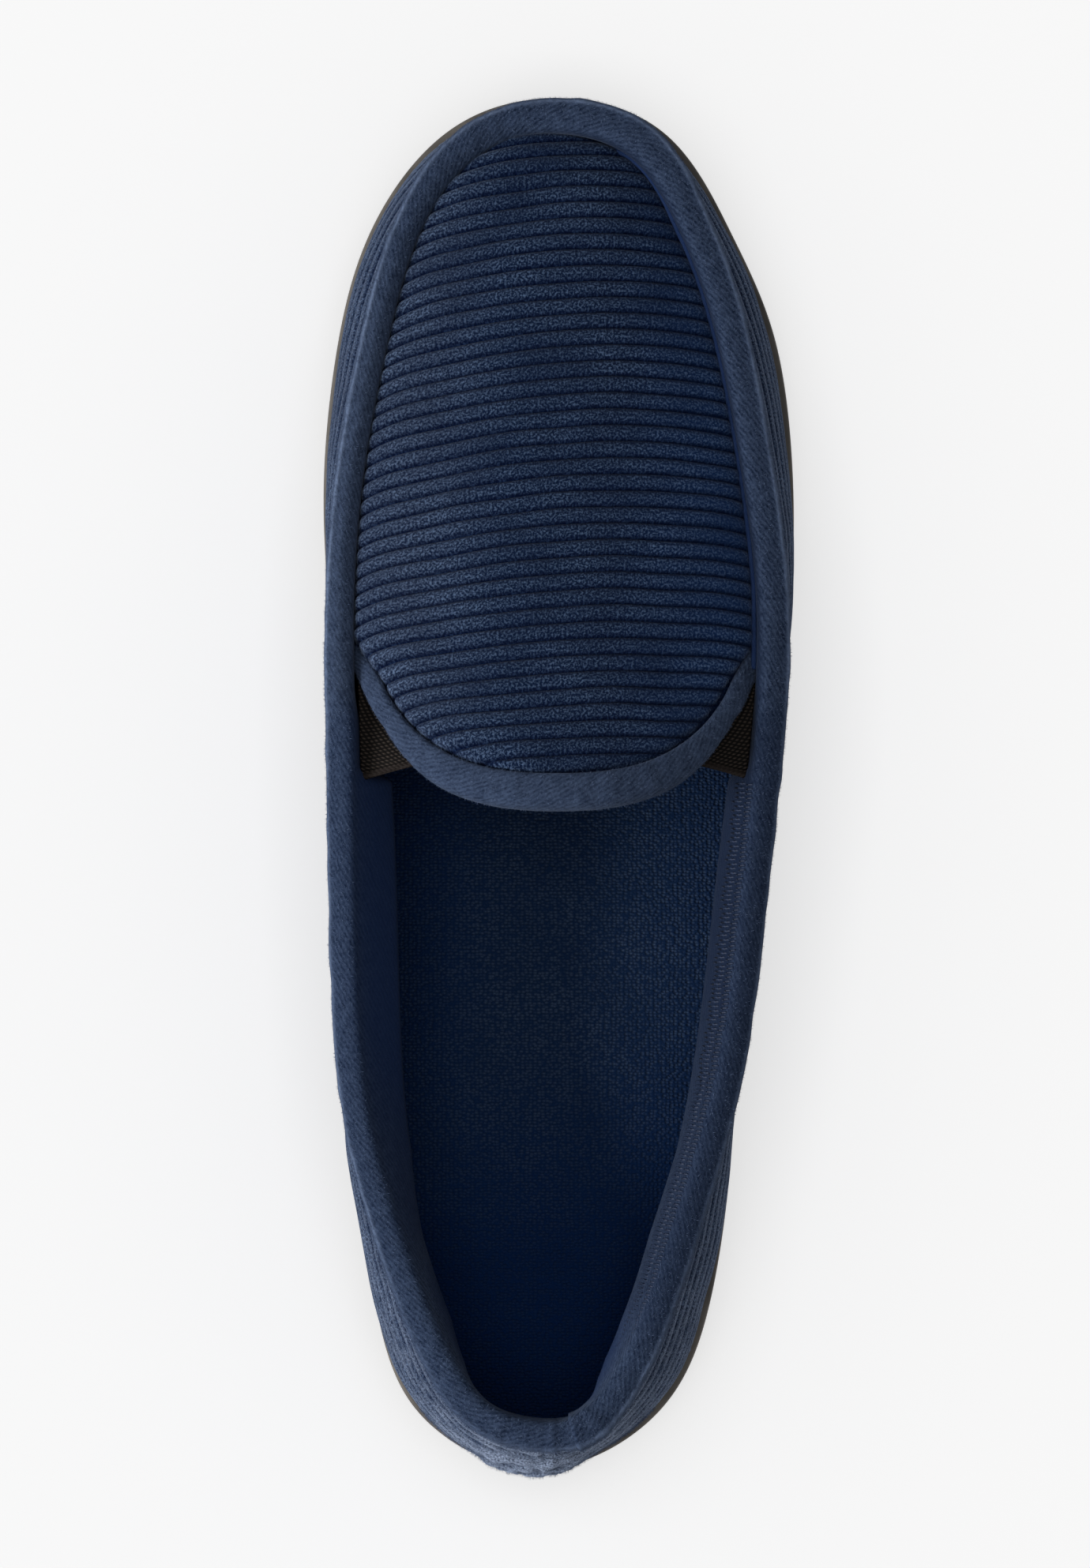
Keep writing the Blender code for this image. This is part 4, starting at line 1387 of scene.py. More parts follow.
class PadStop(NamedTuple):
    """Padding behind the collar tape's inner leg, in mm: place along the shoe, inner side, outer side."""

    along: float
    medial: float
    lateral: float


COLLAR_PAD = (
    PadStop(-140, 1.8, 1.8),
    PadStop(-138, 1.3, 1.3),
    PadStop(-135.5, 0.4, 1.2),
    PadStop(-133, 0.0, 2.2),
    PadStop(-129.5, 1.0, 3.9),
    PadStop(-125, 3.0, 5.0),
    PadStop(-116, 4.6, 5.6),
    PadStop(-98, 4.6, 5.4),
    PadStop(-80, 6.3, 3.8),
    PadStop(0, 6.2, 3.5),
    PadStop(3.5, 0.0, 0.0),
)


def collar_padding(rim: Array) -> Array:
    """Padding behind the collar tape at points of the cut edge.

    Args:
        rim: Points of the cut edge.

    Returns:
        Thickness of the padding in metres.
    """
    along, medial, lateral = np.array(COLLAR_PAD).T * MM
    outer = outer_share(rim[:, 0])
    return np.interp(rim[:, 1], along, medial) * (1 - outer) + np.interp(rim[:, 1], along, lateral) * outer


@dataclass
class Upper:
    """Corduroy wall and plug with a terry lining: hollow, open at the collar and below."""

    last: Last
    cord_pitch: float = 3.47 * MM
    cord_height: float = 1.4 * MM
    cord_steps: int = 9
    cord_numbers: tuple[int, int] = (-2, 43)
    cord_wander: float = 0.22 * MM
    plumpness: float = 0.14
    plug_half: float = 46 * MM
    plug_swell: float = 0.25 * MM
    first_cord: float = 39.9
    bow: float = 2.8
    bow_change: float = 0.98
    crest: float = 12.5 * MM
    crest_change: float = -2.5 * MM
    middle_along: float = 60 * MM
    tape_inner: float = 3.5 * MM
    throat_leg: float = 4.5 * MM
    throat_join: float = 33 * MM
    end_round: float = 2.6 * MM
    end_tuck: float = 0.7 * MM
    end_droop: float = 1.2 * MM
    droop_run: float = 8 * MM
    gather: float = 1.4 * MM
    # Painted light on the plug's inner side, which faces the light
    nap_and_painted_light: float = 0.05
    wall_cord: float = 0.7 * MM
    wall_stations: int = 640
    wall_levels: int = 112
    wall_plumpness: float = 0.15
    wall_swell: float = 0.2 * MM
    turn_under: float = 1.4 * MM
    slack_medial: float = 0.5 * MM
    slack_lateral: float = 1.1 * MM
    slack_heel: float = 1.0 * MM
    slack_corner: float = 1.0 * MM
    scallop: float = 0.25 * MM
    clump_across: float = -7 * MM
    clump_half: float = 12.5 * MM
    heel_flare: float = 1.3 * MM
    heel_ragged: float = 0.8 * MM
    waist_bulge: float = 1.6 * MM
    lining_swell: float = 3.0 * MM
    heel_points: Array = field(default_factory=lambda: np.zeros((2, 2, 3)))

    def plug_outline(self) -> Array:
        """Plan line where the two tapes meet the plug, as a closed outline.

        Returns:
            Points in plan, in order.
        """
        last = self.last
        places = np.linspace(last.place_at(self.throat_join, Side.MEDIAL),
                             last.place_at(self.throat_join, Side.LATERAL), 420)
        point, normal, _ = last.wall_below(places, np.full(len(places), 1.2 * MM))
        inward = last.wall / 2 + self.tape_inner * tape_share(point[:, 0]) - toe_shift(point[:, 1])
        front = (point - normal * inward[:, None])[:, :2]
        turns = np.linspace(last.turn_at(self.throat_join, Side.LATERAL),
                            last.turn_at(self.throat_join, Side.MEDIAL), 260)
        edge, outward = last.throat_edge(turns)
        leg = self.throat_leg - throat_tuck(edge[:, 1])
        return np.vstack((front, edge - outward * leg[:, None]))

    def within_seams(self, x: Array, y: Array) -> Array:
        """Whether plan points lie on the plug, up to the seams and the free rear edge.

        Args:
            x: Across, of any shape.
            y: Along.

        Returns:
            True or false for each point.
        """
        last = self.last
        middle, half, depth = last.throat
        front = last.throat_front
        tip = last.seams[Side.MEDIAL][-1, 1]
        sides = (x > last.seam_at(y, Side.MEDIAL, 0)) & (x < last.seam_at(y, Side.LATERAL, 0)) & (y < tip)
        across = np.abs((x - middle) / half) ** last.throat_power
        along = (np.maximum(front - y, 0) / depth) ** last.throat_power
        return np.where(y >= front, sides, across + along < 1)

    def build_plug(self, finish: bpy.types.Material) -> None:
        """Make the plug's face with its bowed cords across the foot.

        Args:
            finish: The corduroy.
        """
        last = self.last
        within = 0.5 * (1 - np.cos(np.pi * np.arange(self.cord_steps) / self.cord_steps))
        phase = (np.arange(*self.cord_numbers)[:, None] + within[None, :]).ravel()
        across, phase = np.meshgrid(np.linspace(-self.plug_half, self.plug_half, 150), phase)
        target = (self.first_cord - phase) * self.cord_pitch
        along = target.copy()
        for _ in range(12):
            share = along / self.middle_along - 1
            off_crest = across - self.crest - self.crest_change * share
            along = target - (self.bow + self.bow_change * share) * off_crest ** 2
        wander = cloth_noise(across, np.floor(phase) * self.cord_pitch, 11 * MM, 5)
        along = along + self.cord_wander * wander
        outline = self.plug_outline()
        inner = 1 - outer_share(across)
        rim = distance_to(across, along, outline)
        along = along - self.end_droop * inner * np.clip(1 - rim / self.droop_run, 0, 1) ** 2
        rim = distance_to(across, along, outline)
        rim = np.where(inside_outline(across, along, outline), rim, 0)
        end = np.clip(rim / (self.end_round * (0.65 + 0.35 * outer_share(across))), 0, 1)
        end = np.sqrt(1 - (1 - end) ** 2)
        plump = 1 + self.plumpness * cloth_noise(across, along, 6 * MM, 8)
        cord = cord_profile(phase) * end * plump
        point, normal = last.plug_frame(across, along)
        tuck = 1 - np.clip(rim / (2 * self.end_round), 0, 1)
        lift = self.cord_height * (cord - 0.65) - self.end_tuck * outer_share(across) * tuck ** 2
        lift = lift + self.plug_swell * cloth_noise(across, along, 24 * MM, 12)
        gathered = smooth_step(rim, -0.4 * MM, 1.6 * MM) * (1 - smooth_step(rim, 3 * MM, 18 * MM))
        lift = lift + self.gather * inner * gathered
        chart = np.stack((across, target), axis=-1)
        # Painted shade: the cords are coloured darker towards their ends under the tape, less so on the inner
        # side
        tone = cord_tone(phase) * np.clip(1.25 * end + 0.5 * inner, 0, 1)
        # Painted light: paler pile on the plug's inner side, which faces the light
        brushed = self.nap_and_painted_light * tone * (1 - smooth_step(across, -36 * MM, -8 * MM))
        # Painted shade: a bluer tint on the plug's outer side, away from the light
        shade_side_blue = smooth_step(across, 8 * MM, 40 * MM) * (0.3 + 0.7 * tone)
        piece = sheet("upper_plug", (point + normal * lift[..., None])[::-1], chart[::-1],
                      keep=self.within_seams(across, along)[::-1],
                      marks={"cord": tone[::-1], "fray": brushed[::-1], "shade_side_blue": shade_side_blue[::-1]})
        dress(piece, finish, "corduroy", "upper")

    def build_wall(self, finish: bpy.types.Material) -> None:
        """Make the wall's outer face with cords along the foot and an uneven lower edge.

        Args:
            finish: The corduroy.
        """
        last = self.last
        stations = self.wall_stations
        places = last.places(stations)
        climbs = np.concatenate(((-0.01,), np.linspace(0, 1, self.wall_levels)))
        points, normals = [], []
        for climb in climbs:
            point, normal, _ = last.wall_frame(places, np.full(stations, max(climb, 0.0)))
            points.append(point)
            normals.append(normal)
        points, normals = np.array(points), np.array(normals)
        height = run_length(points, 0)
        closed = np.concatenate((points, points[:, :1]), axis=1)
        round_run = np.broadcast_to(run_length(closed[60:61], 1), closed.shape[:2])
        run = round_run[:, :-1]
        phase = height / self.cord_pitch + 0.3 + 0.1 * loop_ripple(places, 9, 2)[None, :]
        plump = 1 + self.wall_plumpness * cloth_noise(run, height, 7 * MM, 21)
        cord = cord_profile(phase) * plump
        x, y = points[..., 0], points[..., 1]
        low = 1 - smooth_step(height, 1 * MM, 12 * MM)
        clump = np.exp(-((x - self.clump_across) / self.clump_half) ** 4)
        heel = smooth_step(-y, 139 * MM, 147 * MM) * clump
        uneven = self.scallop * (loop_ripple(places, 31, 4) + loop_ripple(places, 139, 6))[None, :] * low
        belly = np.sin(np.pi * np.clip(climbs, 0, 1))[:, None]
        outer = smooth_step(x, -10 * MM, 10 * MM)
        front = self.slack_medial * (1 - outer) + self.slack_lateral * outer
        front = front * smooth_step(y, 35 * MM, 70 * MM)
        corner = self.slack_corner * smooth_step(-y, 124 * MM, 138 * MM)
        rear = (self.slack_heel * outer * smooth_step(-y, 95 * MM, 115 * MM) + corner) * (1 - heel)
        inner_waist = np.exp(-((y + 74 * MM) / (13 * MM)) ** 2) * (1 - outer)
        slack = (front + rear - self.waist_bulge * inner_waist) * belly - self.heel_flare * heel * low
        ragged = cloth_noise(run, height, 2.6 * MM, 41) + 0.6 * cloth_noise(run, height, 1.3 * MM, 42)
        drop = height[-1:] - height
        near = 1 - smooth_step(drop, 8 * MM, 18 * MM)
        lift = self.wall_cord * (1 + 0.4 * near) * (cord - 0.7) * (1 - 0.7 * heel)
        lift = lift + uneven - slack + self.heel_ragged * ragged * heel
        lift = lift + self.wall_swell * cloth_noise(run, height, 18 * MM, 31)
        shape = points + normals * lift[..., None]
        shape[0] = shape[1] - normals[1] * self.turn_under
        shape[0, :, 2] = shape[1, :, 2] - last.seat_gap
        tall = np.concatenate((height, height[:, :1]), axis=1)
        chart = np.stack((round_run, tall), axis=-1)
        # Painted shade: the wall's grooves are coloured darker, most of all just below the tape, where its
        # shadow falls
        shade = 1 - (0.6 + 0.4 * near) * (1 - cord_tone(phase))
        patches = np.clip(0.75 + 0.5 * ragged, 0, 1)
        # Painted sheen: paler pile tips over the whole wall, more towards the heel, where the pile also has
        # real fray
        sheen_and_fray = 0.08 + 0.14 * smooth_step(-y, 60 * MM, 135 * MM) + 0.38 * smooth_step(-y, 128 * MM, 148 * MM)
        shade = shade * (1 - heel) + patches * heel
        marks = {"cord": shade, "fray": sheen_and_fray * patches * (0.05 + 0.95 * shade)}
        dress(sheet("upper_wall", shape, chart, Loop.CLOSED, marks=marks), finish, "corduroy", "upper")
        at_heel = np.abs((places + 12) % len(SECTIONS) - 12) < 1.2
        self.heel_points = np.roll(shape, stations // 2, axis=1)[:, np.roll(at_heel, stations // 2)]

    def build_lining(self, finish: bpy.types.Material) -> None:
        """Make the inner face of the wall and the underside of the plug.

        Args:
            finish: The terry inside.
        """
        last = self.last
        stations = 240
        places = last.places(stations)
        ones = np.ones(stations)
        top = last.wall_surface(places, ones)
        collar = 1 - smooth_step(top[:, 1], -8 * MM, 2 * MM)
        highest = 1 - (4.5 + 3.7 * collar) * MM / last.edge_scale(places)
        fullest = np.minimum(self.lining_swell, 1.4 * MM + collar_padding(top))
        rows = []
        for share in np.linspace(0.02, 1, 40):
            point, normal, _ = last.wall_frame(places, share * highest)
            swell = fullest * collar * smooth_step(share * ones, 0.4, 1.0)
            rows.append(point - normal * (last.wall + swell)[:, None])
        points = np.array(rows)
        piece = sheet("lining_wall", points[::-1], round_chart(points)[::-1], Loop.CLOSED)
        dress(piece, finish, "sock_terry", "upper")
        across, along = np.meshgrid(np.linspace(-self.plug_half, self.plug_half, 70),
                                    np.linspace(-6 * MM, 146 * MM, 110))
        point, normal = last.plug_frame(across, along)
        piece = sheet("lining_plug", point - normal * last.plug_thickness, np.stack((across, along), axis=-1),
                      keep=self.within_seams(across, along))
        dress(piece, finish, "sock_terry", "upper")

    def build(self, cloth: bpy.types.Material, lining: bpy.types.Material) -> None:
        """Make every layer of the upper.

        Args:
            cloth: The corduroy.
            lining: The terry inside.
        """
        self.build_plug(cloth)
        self.build_wall(cloth)
        self.build_lining(lining)


class TapeStop(NamedTuple):
    """One stop of a folded tape's section in mm, beside the plug (apron) and at the collar.

    The padding's share says how far the padding moves the stop inward.
    """

    apron_across: float
    apron_up: float
    collar_across: float
    collar_up: float
    pad: float


COLLAR_TAPE = (
    TapeStop(1.5, -2.7, 1.5, -2.7, 0.0),
    TapeStop(2.4, -2.7, 2.4, -2.6, 0.0),
    TapeStop(2.9, -2.1, 3.0, -2.0, 0.0),
    TapeStop(3.45, -1.1, 3.35, -0.9, 0.0),
    TapeStop(3.55, -0.05, 3.35, 0.3, 0.0),
    TapeStop(3.3, 0.75, 3.0, 1.2, 0.0),
    TapeStop(2.75, 1.0, 2.4, 1.5, 0.0),
    TapeStop(2.05, 1.35, 1.5, 2.0, 0.0),
    TapeStop(1.0, 1.95, 0.2, 2.45, 0.0),
    TapeStop(-0.4, 2.45, -1.3, 2.6, 0.0),
    TapeStop(-1.7, 2.5, -2.5, 2.1, 0.0),
    TapeStop(-2.8, 1.95, -3.2, 0.8, 0.05),
    TapeStop(-3.5, 0.7, -3.5, -1.3, 0.28),
    TapeStop(-3.6, -1.4, -3.7, -4.5, 0.64),
    TapeStop(-3.2, -3.2, -3.6, -8.2, 1.0),
    TapeStop(-1.8, -5.2, -2.4, -10.4, 0.9),
)


@dataclass
class CollarBinding:
    """Folded twill tape over the wall's edge, with a welt beside the plug and a seam inside the collar."""

    last: Last
    change_front: float = 21 * MM
    change_rear: float = 11 * MM
    inner_sag: float = 1.2 * MM
    pucker: float = 0.16 * MM
    start: float = -0.82
    lap: float = 0.28
    lap_lift: float = 0.6 * MM
    lap_run: float = 0.7
    stations: int = 728
    stops: int = 48
    fold: float = 0.34
    welt_radius: float = 0.7 * MM
    welt_shade: float = 0.85
    welt_rear: float = 24 * MM
    welt_inward: float = 4.3 * MM
    welt_rise: float = 0.3 * MM
    welt_uneven: float = 0.15 * MM
    welt_dip: float = 3.0 * MM
    welt_sides: int = 10
    seam_top: float = 0.68
    seam_low: float = 0.86
    seam_rear: float = -130 * MM
    seam_gap: float = 0.008
    stitch_pitch: float = 0.95 * MM
    thread: float = 0.27 * MM
    points: Array = field(default_factory=lambda: np.zeros((2, 2, 3)))

    @property
    def end(self) -> float:
        """Place where the tape ends, lapped over its own start at the heel."""
        return self.start + len(SECTIONS) + self.lap

    def build_tape(self, finish: bpy.types.Material) -> None:
        """Make the tape round the whole edge, its end lapped over its start.

        Args:
            finish: The tape's twill.
        """
        last = self.last
        places = np.linspace(self.start, self.end, self.stations)
        rim = last.wall_surface(places, np.ones(self.stations))
        change = smooth_step(rim[:, 1], self.change_rear, self.change_front)
        pad = collar_padding(rim)
        toe = toe_shift(rim[:, 1])
        outer = outer_share(rim[:, 0])
        rows = []
        for stop in through(np.array(COLLAR_TAPE) * MM, self.stops):
            apron_across, apron_up, collar_across, collar_up, pad_share = stop
            apron = apron_across * (tape_share(rim[:, 0]) if apron_across < 0 else 1)
            across = apron * change + (collar_across - pad_share / MM * pad) * (1 - change)
            across = across + toe * (1 + 0.15 * apron_across / MM)
            sag = self.inner_sag * (1 - outer) * float(smooth_step(np.array(-apron_across), -2 * MM, 2 * MM))
            up = (apron_up - sag) * change + collar_up * (1 - change)
            point, normal, _ = last.wall_below(places, -up)
            rows.append(point + normal * (across - last.wall / 2)[:, None])
        points = np.array(rows)
        share = np.linspace(0, 1, self.stops)[:, None]
        wave = loop_ripple(places + 0.15 * share, 37, 3)
        wave = wave + 0.8 * loop_ripple(places, 61, 7) * np.sin(np.pi * share)
        lapped = self.lap_lift * smooth_step(places, self.end - self.lap_run, self.end - 0.5 * self.lap_run)
        lapped[-1] = 0
        lift = self.pucker * wave * np.sin(np.pi * np.minimum(share / 0.8, 1)) + lapped
        self.points = points + normals_of(points) * lift[..., None]
        chart = strip_chart(points, self.stops // 2)
        at_heel = smooth_step(-rim[:, 1], (92 + 14 * outer) * MM, (112 + 14 * outer) * MM)
        beside = (1 - change) * (1 - at_heel)
        blend = 0.06 + 0.2 * (1 - outer) * smooth_step(-rim[:, 1], 50 * MM, 85 * MM)
        # The inner leg on the inner side: a darker cloth, its bluer tone painted shade
        facing_and_shade = smooth_step(share, self.seam_top - 0.14, self.seam_top + 0.12 + blend)
        strip = smooth_step(share, self.seam_top, self.seam_top + 0.06)
        # Painted shade under the tape's roll at the heel
        roll_shade = smooth_step(share, 0.7, 0.92)
        inner = np.maximum(0.78 * facing_and_shade * beside * (1 - outer), 0.75 * roll_shade * at_heel)
        # Darker band under the overlock, fading towards the heel; painted shade over the collar, more on the
        # outer side, and on the outer flank beside the plug
        faint = 0.9 - 0.4 * smooth_step(-rim[:, 1], 30 * MM, 100 * MM)
        flank = 0.85 * smooth_step(share, 0.66, 0.77) * change * outer
        seam = np.maximum(strip * faint * outer, 0.2 + 0.25 * outer) * beside + flank
        # Paler fold: partly its nap, partly a painted highlight
        fold_nap_and_highlight = np.exp(-((share - self.fold) / 0.045) ** 2) * (1.2 + 0.3 * loop_ripple(places, 23, 9))
        fold_nap_and_highlight = fold_nap_and_highlight * (1 - 0.75 * at_heel * (1 - outer))
        # Painted light: the tape beside the plug is paler on the inner side, which faces the light
        fold_nap_and_highlight = fold_nap_and_highlight + 0.18 * (1 - outer) * change * (1 - smooth_step(rim[:, 1], 85 * MM, 125 * MM))
        piece = sheet("collar_tape", self.points, chart, marks={"inner": inner, "seam": seam, "fold": fold_nap_and_highlight})
        dress(piece, finish, "twill_tape", "collar_binding")

    def build_welt(self, finish: bpy.types.Material) -> None:
        """Make the narrow turned edge between the tape and the plug, which dips out of sight over the toe.

        Args:
            finish: The tape's twill.
        """
        last = self.last
        places = np.linspace(len(SECTIONS) / 2, last.place_at(self.welt_rear, Side.LATERAL), 300)
        point, normal, _ = last.wall_below(places, np.full(len(places), 1.2 * MM))
        inward = last.wall / 2 + self.welt_inward - toe_shift(point[:, 1])
        plan = (point - normal * inward[:, None])[:, :2]
        ground, lift = last.plug_frame(plan[:, 0], plan[:, 1])
        dip = self.welt_dip * (1 - smooth_step(point[:, 0], 2 * MM, 24 * MM))
        rise = self.welt_rise + self.welt_uneven * loop_ripple(places, 29, 5) - dip
        path = ground + lift * rise[:, None]
        piece = tubes("plug_welt", [path], self.welt_radius, self.welt_sides, {"inner": self.welt_shade})
        dress(piece, finish, "twill_tape", "collar_binding")

    def stitches(self, first: float, final: float, upper: float, lower: float) -> list[Array]:
        """One column of overlock threads across the tape's inner leg, sinking into it towards the end.

        Args:
            first: Place where the column starts.
            final: Place where it ends.
            upper: Upper ends of the threads, as a share of the tape's section.
            lower: Lower ends of the threads.

        Returns:
            The path of each thread.
        """
        columns = (np.linspace(first, final, 2000) - self.start) / (self.end - self.start)
        columns = columns * (self.stations - 1)
        rows = np.array((upper, lower)) * (self.stops - 1)
        line = between(self.points, np.full(len(columns), rows.mean()), columns)
        length = run_length(line, 0)
        count = int(length[-1] / self.stitch_pitch)
        spots = np.interp((np.arange(count) + 0.5) * self.stitch_pitch, length, columns)
        share = np.linspace(0, 1, 5)
        ragged = np.random.default_rng(count).uniform(-0.6, 0.6, (count, 1))
        row = rows[0] + (rows[1] - rows[0]) * share + ragged
        column = spots[:, None] + 0.45 * share
        sunk = smooth_step(np.arange(count) / count, 0.72, 1.0)[:, None]
        arch = self.thread * (1.3 * np.sin(np.pi * share) - 0.5 - 1.8 * sunk)
        path = between(self.points, row, column)
        return list(path + unit(between(normals_of(self.points), row, column)) * arch[..., None])

    def build_seam(self, finish: bpy.types.Material) -> None:
        """Make the overlock seam of the tape's inner leg, in two columns on the outer side.

        Args:
            finish: The seam's thread.
        """
        last = self.last
        first, final = last.place_at(0, Side.LATERAL), last.place_at(self.seam_rear, Side.LATERAL)
        middle = 0.5 * (self.seam_top + self.seam_low)
        paths = self.stitches(first, final, self.seam_top, middle - self.seam_gap)
        paths += self.stitches(first, final, middle + self.seam_gap, self.seam_low)
        dress(tubes("collar_overlock", paths, self.thread, 5), finish, "twill_tape", "collar_binding")

    def build(self, tape: bpy.types.Material, thread: bpy.types.Material) -> None:
        """Make the tape, its welt and its seam.

        Args:
            tape: The tape's twill.
            thread: The seam's thread.
        """
        self.build_tape(tape)
        self.build_welt(tape)
        self.build_seam(thread)


class ThroatStop(NamedTuple):
    """One stop of the throat tape's section in mm: in from the plug's edge, and off the plug's face."""

    inward: float
    lift: float


THROAT_TAPE = (
    ThroatStop(4.2, 0.0),
    ThroatStop(4.6, 0.7),
    ThroatStop(4.3, 1.5),
    ThroatStop(3.2, 1.9),
    ThroatStop(1.6, 2.0),
    ThroatStop(0.0, 1.9),
    ThroatStop(-1.4, 1.4),
    ThroatStop(-2.4, 0.2),
    ThroatStop(-2.8, -1.5),
    ThroatStop(-2.4, -3.2),
    ThroatStop(-1.2, -4.5),
    ThroatStop(0.6, -4.95),
    ThroatStop(2.8, -4.95),
    ThroatStop(4.4, -4.8),
    ThroatStop(4.3, -3.4),
)


@dataclass
class ThroatBinding:
    """Folded twill tape over the plug's rear edge, its ends tucked under the collar tape."""

    last: Last
    start: float = 38 * MM
    sink: float = 3.0 * MM
    leg: float = 4.6 * MM
    narrowing: float = 0.34
    pucker: float = 0.16 * MM
    # Paler nap over the whole throat tape
    nap_and_painted_light: float = 0.12
    stations: int = 260
    stops: int = 46
    crown_stop: int = 14
    points: Array = field(default_factory=lambda: np.zeros((2, 2, 3)))

    def shifted(self, turns: Array, inward: float, lift: Array) -> Array:
        """Points in from the plug's edge and off its face, with the ends tucked out and down.

        More of the tape is folded under on the flanks, so that it looks narrower there.

        Args:
            turns: Places round the edge.
            inward: Distance in from the edge, or out from it when negative.
            lift: Distance off the face, one for each place.

        Returns:
            The points.
        """
        edge, outward = self.last.throat_edge(turns)
        tuck = throat_tuck(edge[:, 1])
        flank = self.narrowing * smooth_step(edge[:, 1], 0, 14 * MM)
        reach = (self.leg - (self.leg - inward) * (1 - flank) - tuck)[:, None]
        plan = edge - outward * np.maximum(reach, 0)
        point, normal = self.last.plug_frame(plan[:, 0], plan[:, 1])
        side = np.column_stack((outward, np.zeros(len(outward))))
        side = unit(side - normal * np.sum(side * normal, axis=1, keepdims=True))
        sunk = self.sink * smooth_step(edge[:, 1], 16 * MM, 32 * MM)
        return point + normal * (lift - sunk)[:, None] - side * np.minimum(reach, 0)

    def build(self, finish: bpy.types.Material) -> None:
        """Make the tape from one side to the other.

        Args:
            finish: The tape's twill.
        """
        last = self.last
        first, final = (last.turn_at(self.start, side) for side in (Side.LATERAL, Side.MEDIAL))
        turns = np.linspace(first, final, self.stations)
        rows = []
        for stop, (inward, lift) in enumerate(through(np.array(THROAT_TAPE) * MM, self.stops)):
            share = stop / self.stops
            wave = np.sin(41 * turns + 3 * share) + 0.7 * np.sin(67 * turns + 1.3)
            wave = wave + 0.5 * np.sin(23 * turns + 0.4)
            uneven = self.pucker * 0.6 * wave * math.sin(math.pi * share)
            rows.append(self.shifted(turns, inward, lift + uneven))
        points = np.array(rows)
        chart = strip_chart(points, self.crown_stop) * np.array((1, -1))
        self.points = points[:, ::-1]
        marks = {"fold": np.full(points.shape[:2], self.nap_and_painted_light)}
        piece = sheet("throat_tape", self.points, chart[:, ::-1], marks=marks)
        dress(piece, finish, "twill_tape", "throat_binding")


@dataclass
class Gore:
    """Elastic wedge between the plug's rear corner and the collar tape, with a flat selvedge behind."""

    last: Last
    side: Side
    thickness: float = 1.2 * MM
    front: float = 25 * MM
    rear_inner: float = 3.0 * MM
    rear_outer: float = 0.5 * MM
    underlap: float = 3.5 * MM
    drop: float = 1.6 * MM
    selvedge: float = 1.6 * MM
    selvedge_roll: float = 0.35 * MM
    crease_depth: float = 0.25 * MM
    crease_run: float = 0.3 * MM
    rear_bow: float = 0.5 * MM
    steps: int = 48
    columns: int = 30

    def build(self, finish: bpy.types.Material) -> None:
        """Make the wedge.

        Args:
            finish: The elastic.
        """
        last = self.last
        far = last.tape_reach + last.seat_gap
        wanted = np.linspace(self.front, self.rear_outer, self.steps)
        places = np.array([last.place_at(along, self.side) for along in wanted])
        rim, normal, up = last.wall_frame(places, np.ones(self.steps))
        wall_side = rim - normal * (last.wall + far) - up * self.drop
        wanted = np.linspace(self.front, self.rear_inner, self.steps)
        turns = np.array([last.turn_at(along, self.side) for along in wanted])
        edge, outward = last.throat_edge(turns)
        plan = edge - outward * self.underlap
        point, lift = last.plug_frame(plan[:, 0], plan[:, 1])
        plug_side = point - lift * (last.plug_thickness + far + last.seat_gap)
        share = np.linspace(0, 1, self.columns)[None, :, None]
        points = plug_side[:, None] * (1 - share) + wall_side[:, None] * share
        back = run_length(points, 0)[-1:] - run_length(points, 0)
        band = 1 - smooth_step(back, self.selvedge * 0.85, self.selvedge)
        crease = np.exp(-((back - self.selvedge) / self.crease_run) ** 2)
        roll = self.selvedge_roll * np.sin(np.clip(back / self.selvedge, 0, 1) * np.pi)
        points[..., 2] += roll * band - self.crease_depth * crease
        points[..., 1] += self.rear_bow * np.sin(np.pi * share[..., 0]) * smooth_step(-back, -6 * MM, 0)
        chart = np.stack((run_length(points, 1), run_length(points, 0)), axis=-1)
        name = "gore_" + self.side.name.lower()
        order = 1 if self.side is Side.MEDIAL else -1
        marks = {"selvedge": band[:, ::order]}
        piece = sheet(name + "_web", points[:, ::order], chart[:, ::order], marks=marks)
        shell = piece.modifiers.new("thickness", "SOLIDIFY")
        shell.thickness = self.thickness
        shell.offset = -1.0
        dress(piece, finish, "elastic", name)


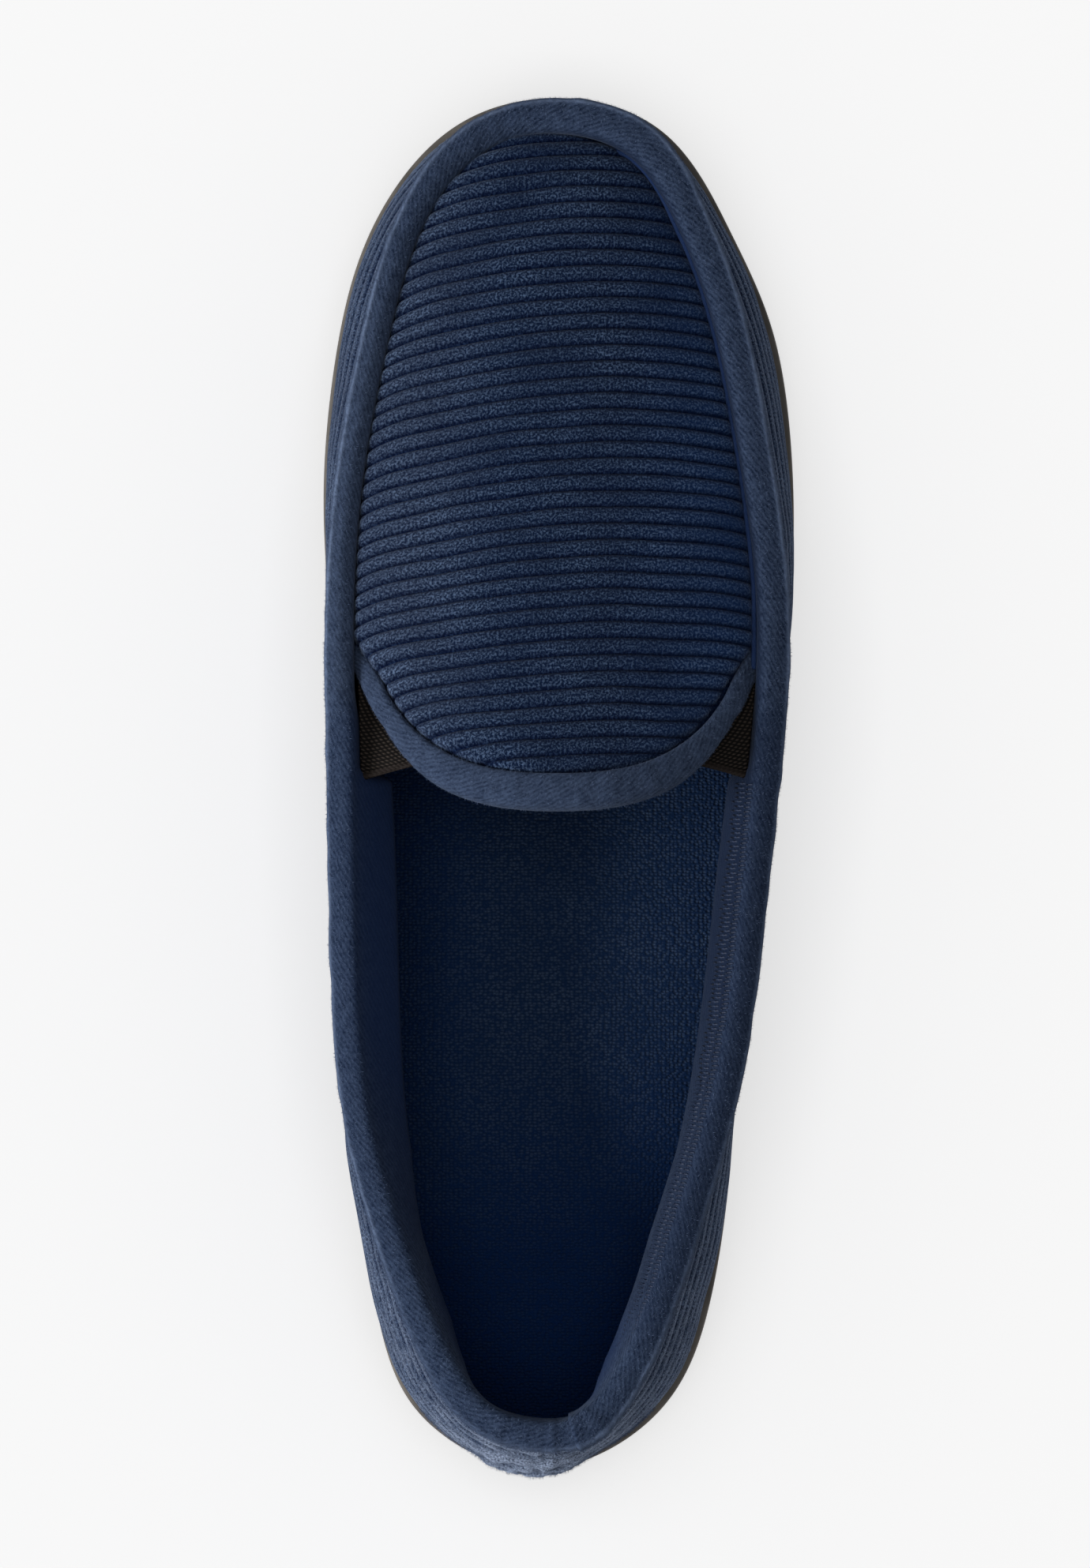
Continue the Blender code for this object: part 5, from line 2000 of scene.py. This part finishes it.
@dataclass
class Studio:
    """Lit table, soft lights and the camera above the shoe."""

    camera_height: float = 1.3
    camera_across: float = -2.94 * MM
    focal: float = 135.0
    sky: float = 0.24
    floor_reach: float = 3.0
    floor_drop: float = 0.2 * MM

    def lamp(self, name: str, place: tuple[float, float, float], size: float,
             power: float) -> bpy.types.Object:
        """Add a square soft light aimed at the shoe.

        Args:
            name: Name of the light.
            place: Where it hangs.
            size: Length of its sides.
            power: Watts.

        Returns:
            The light.
        """
        light = bpy.data.lights.new(name, "AREA")
        light.size = size
        light.energy = power
        item = bpy.data.objects.new(name, light)
        item.location = place
        toward = np.array((0.0, 0.0, 0.03)) - np.array(place)
        flat = math.hypot(toward[0], toward[1])
        item.rotation_euler = (math.atan2(flat, -toward[2]), 0.0, math.atan2(-toward[0], toward[1]))
        bpy.context.scene.collection.objects.link(item)
        return item

    def flag_off(self, light: bpy.types.Object, item: bpy.types.Object) -> None:
        """Keep a light off one object, as a flag does in a studio.

        Args:
            light: The light.
            item: The object that it misses.
        """
        group = bpy.data.collections.new(light.name + "_flag")
        group.objects.link(item)
        group.collection_objects[0].light_linking.link_state = "EXCLUDE"
        light.light_linking.receiver_collection = group

    def build(self) -> None:
        """Make the floor, the lights and the camera."""
        scene = bpy.context.scene
        scene.view_settings.view_transform = "Standard"
        corners = self.floor_reach * np.array((((-1, -1), (1, -1)), ((-1, 1), (1, 1))))
        points = np.concatenate((corners, np.full((2, 2, 1), -self.floor_drop)), axis=-1)
        floor = sheet("floor", points, corners)
        floor.data.materials.append(LightTable().material())
        world = bpy.data.worlds.new("soft_room")
        world.use_nodes = True
        world.node_tree.nodes["Background"].inputs["Color"].default_value = (1.0, 1.0, 1.0, 1.0)
        world.node_tree.nodes["Background"].inputs["Strength"].default_value = self.sky
        scene.world = world
        self.lamp("overhead", (-0.1, 0.0, 1.9), 1.2, 9.6)
        self.flag_off(self.lamp("left_softbox", (-1.2, -0.25, 0.75), 0.6, 23.5), floor)
        lens = bpy.data.cameras.new("camera")
        lens.lens = self.focal
        lens.sensor_width = 36.0
        lens.clip_start = 0.01
        eye = bpy.data.objects.new("camera", lens)
        eye.location = (self.camera_across, 0.0, self.camera_height)
        scene.collection.objects.link(eye)
        scene.camera = eye


def main() -> None:
    """Build the slipper piece by piece, then the studio round it."""
    logging.basicConfig(level=logging.INFO, format="%(name)s %(message)s")
    last = Last()
    corduroy = Corduroy().material()
    twill = BrushedTwill().material()
    terry = Terry().material()
    elastic = ElasticWeb().material()
    rubber = SoleRubber().material()
    thread = SewingThread().material()
    fibre = LooseFibre().material()
    Outsole(last).build(rubber)
    Insole(last).build(terry)
    upper = Upper(last)
    upper.build(corduroy, terry)
    collar = CollarBinding(last)
    collar.build(twill, thread)
    throat = ThroatBinding(last)
    throat.build(twill)
    for side in Side:
        Gore(last, side).build(elastic)
    nap = Nap("tape_nap", 26000, 0.8 * MM)
    nap.build([collar.points, throat.points], (0.1, 0.66), fibre, "twill_tape",
              "collar_binding", "throat_binding")
    fray = Nap("heel_fray", 5000, 1.3 * MM, seed=2)
    fray.build([upper.heel_points], (0.0, 0.5), fibre, "corduroy", "upper")
    Studio().build()


if __name__ == "__main__":
    main()
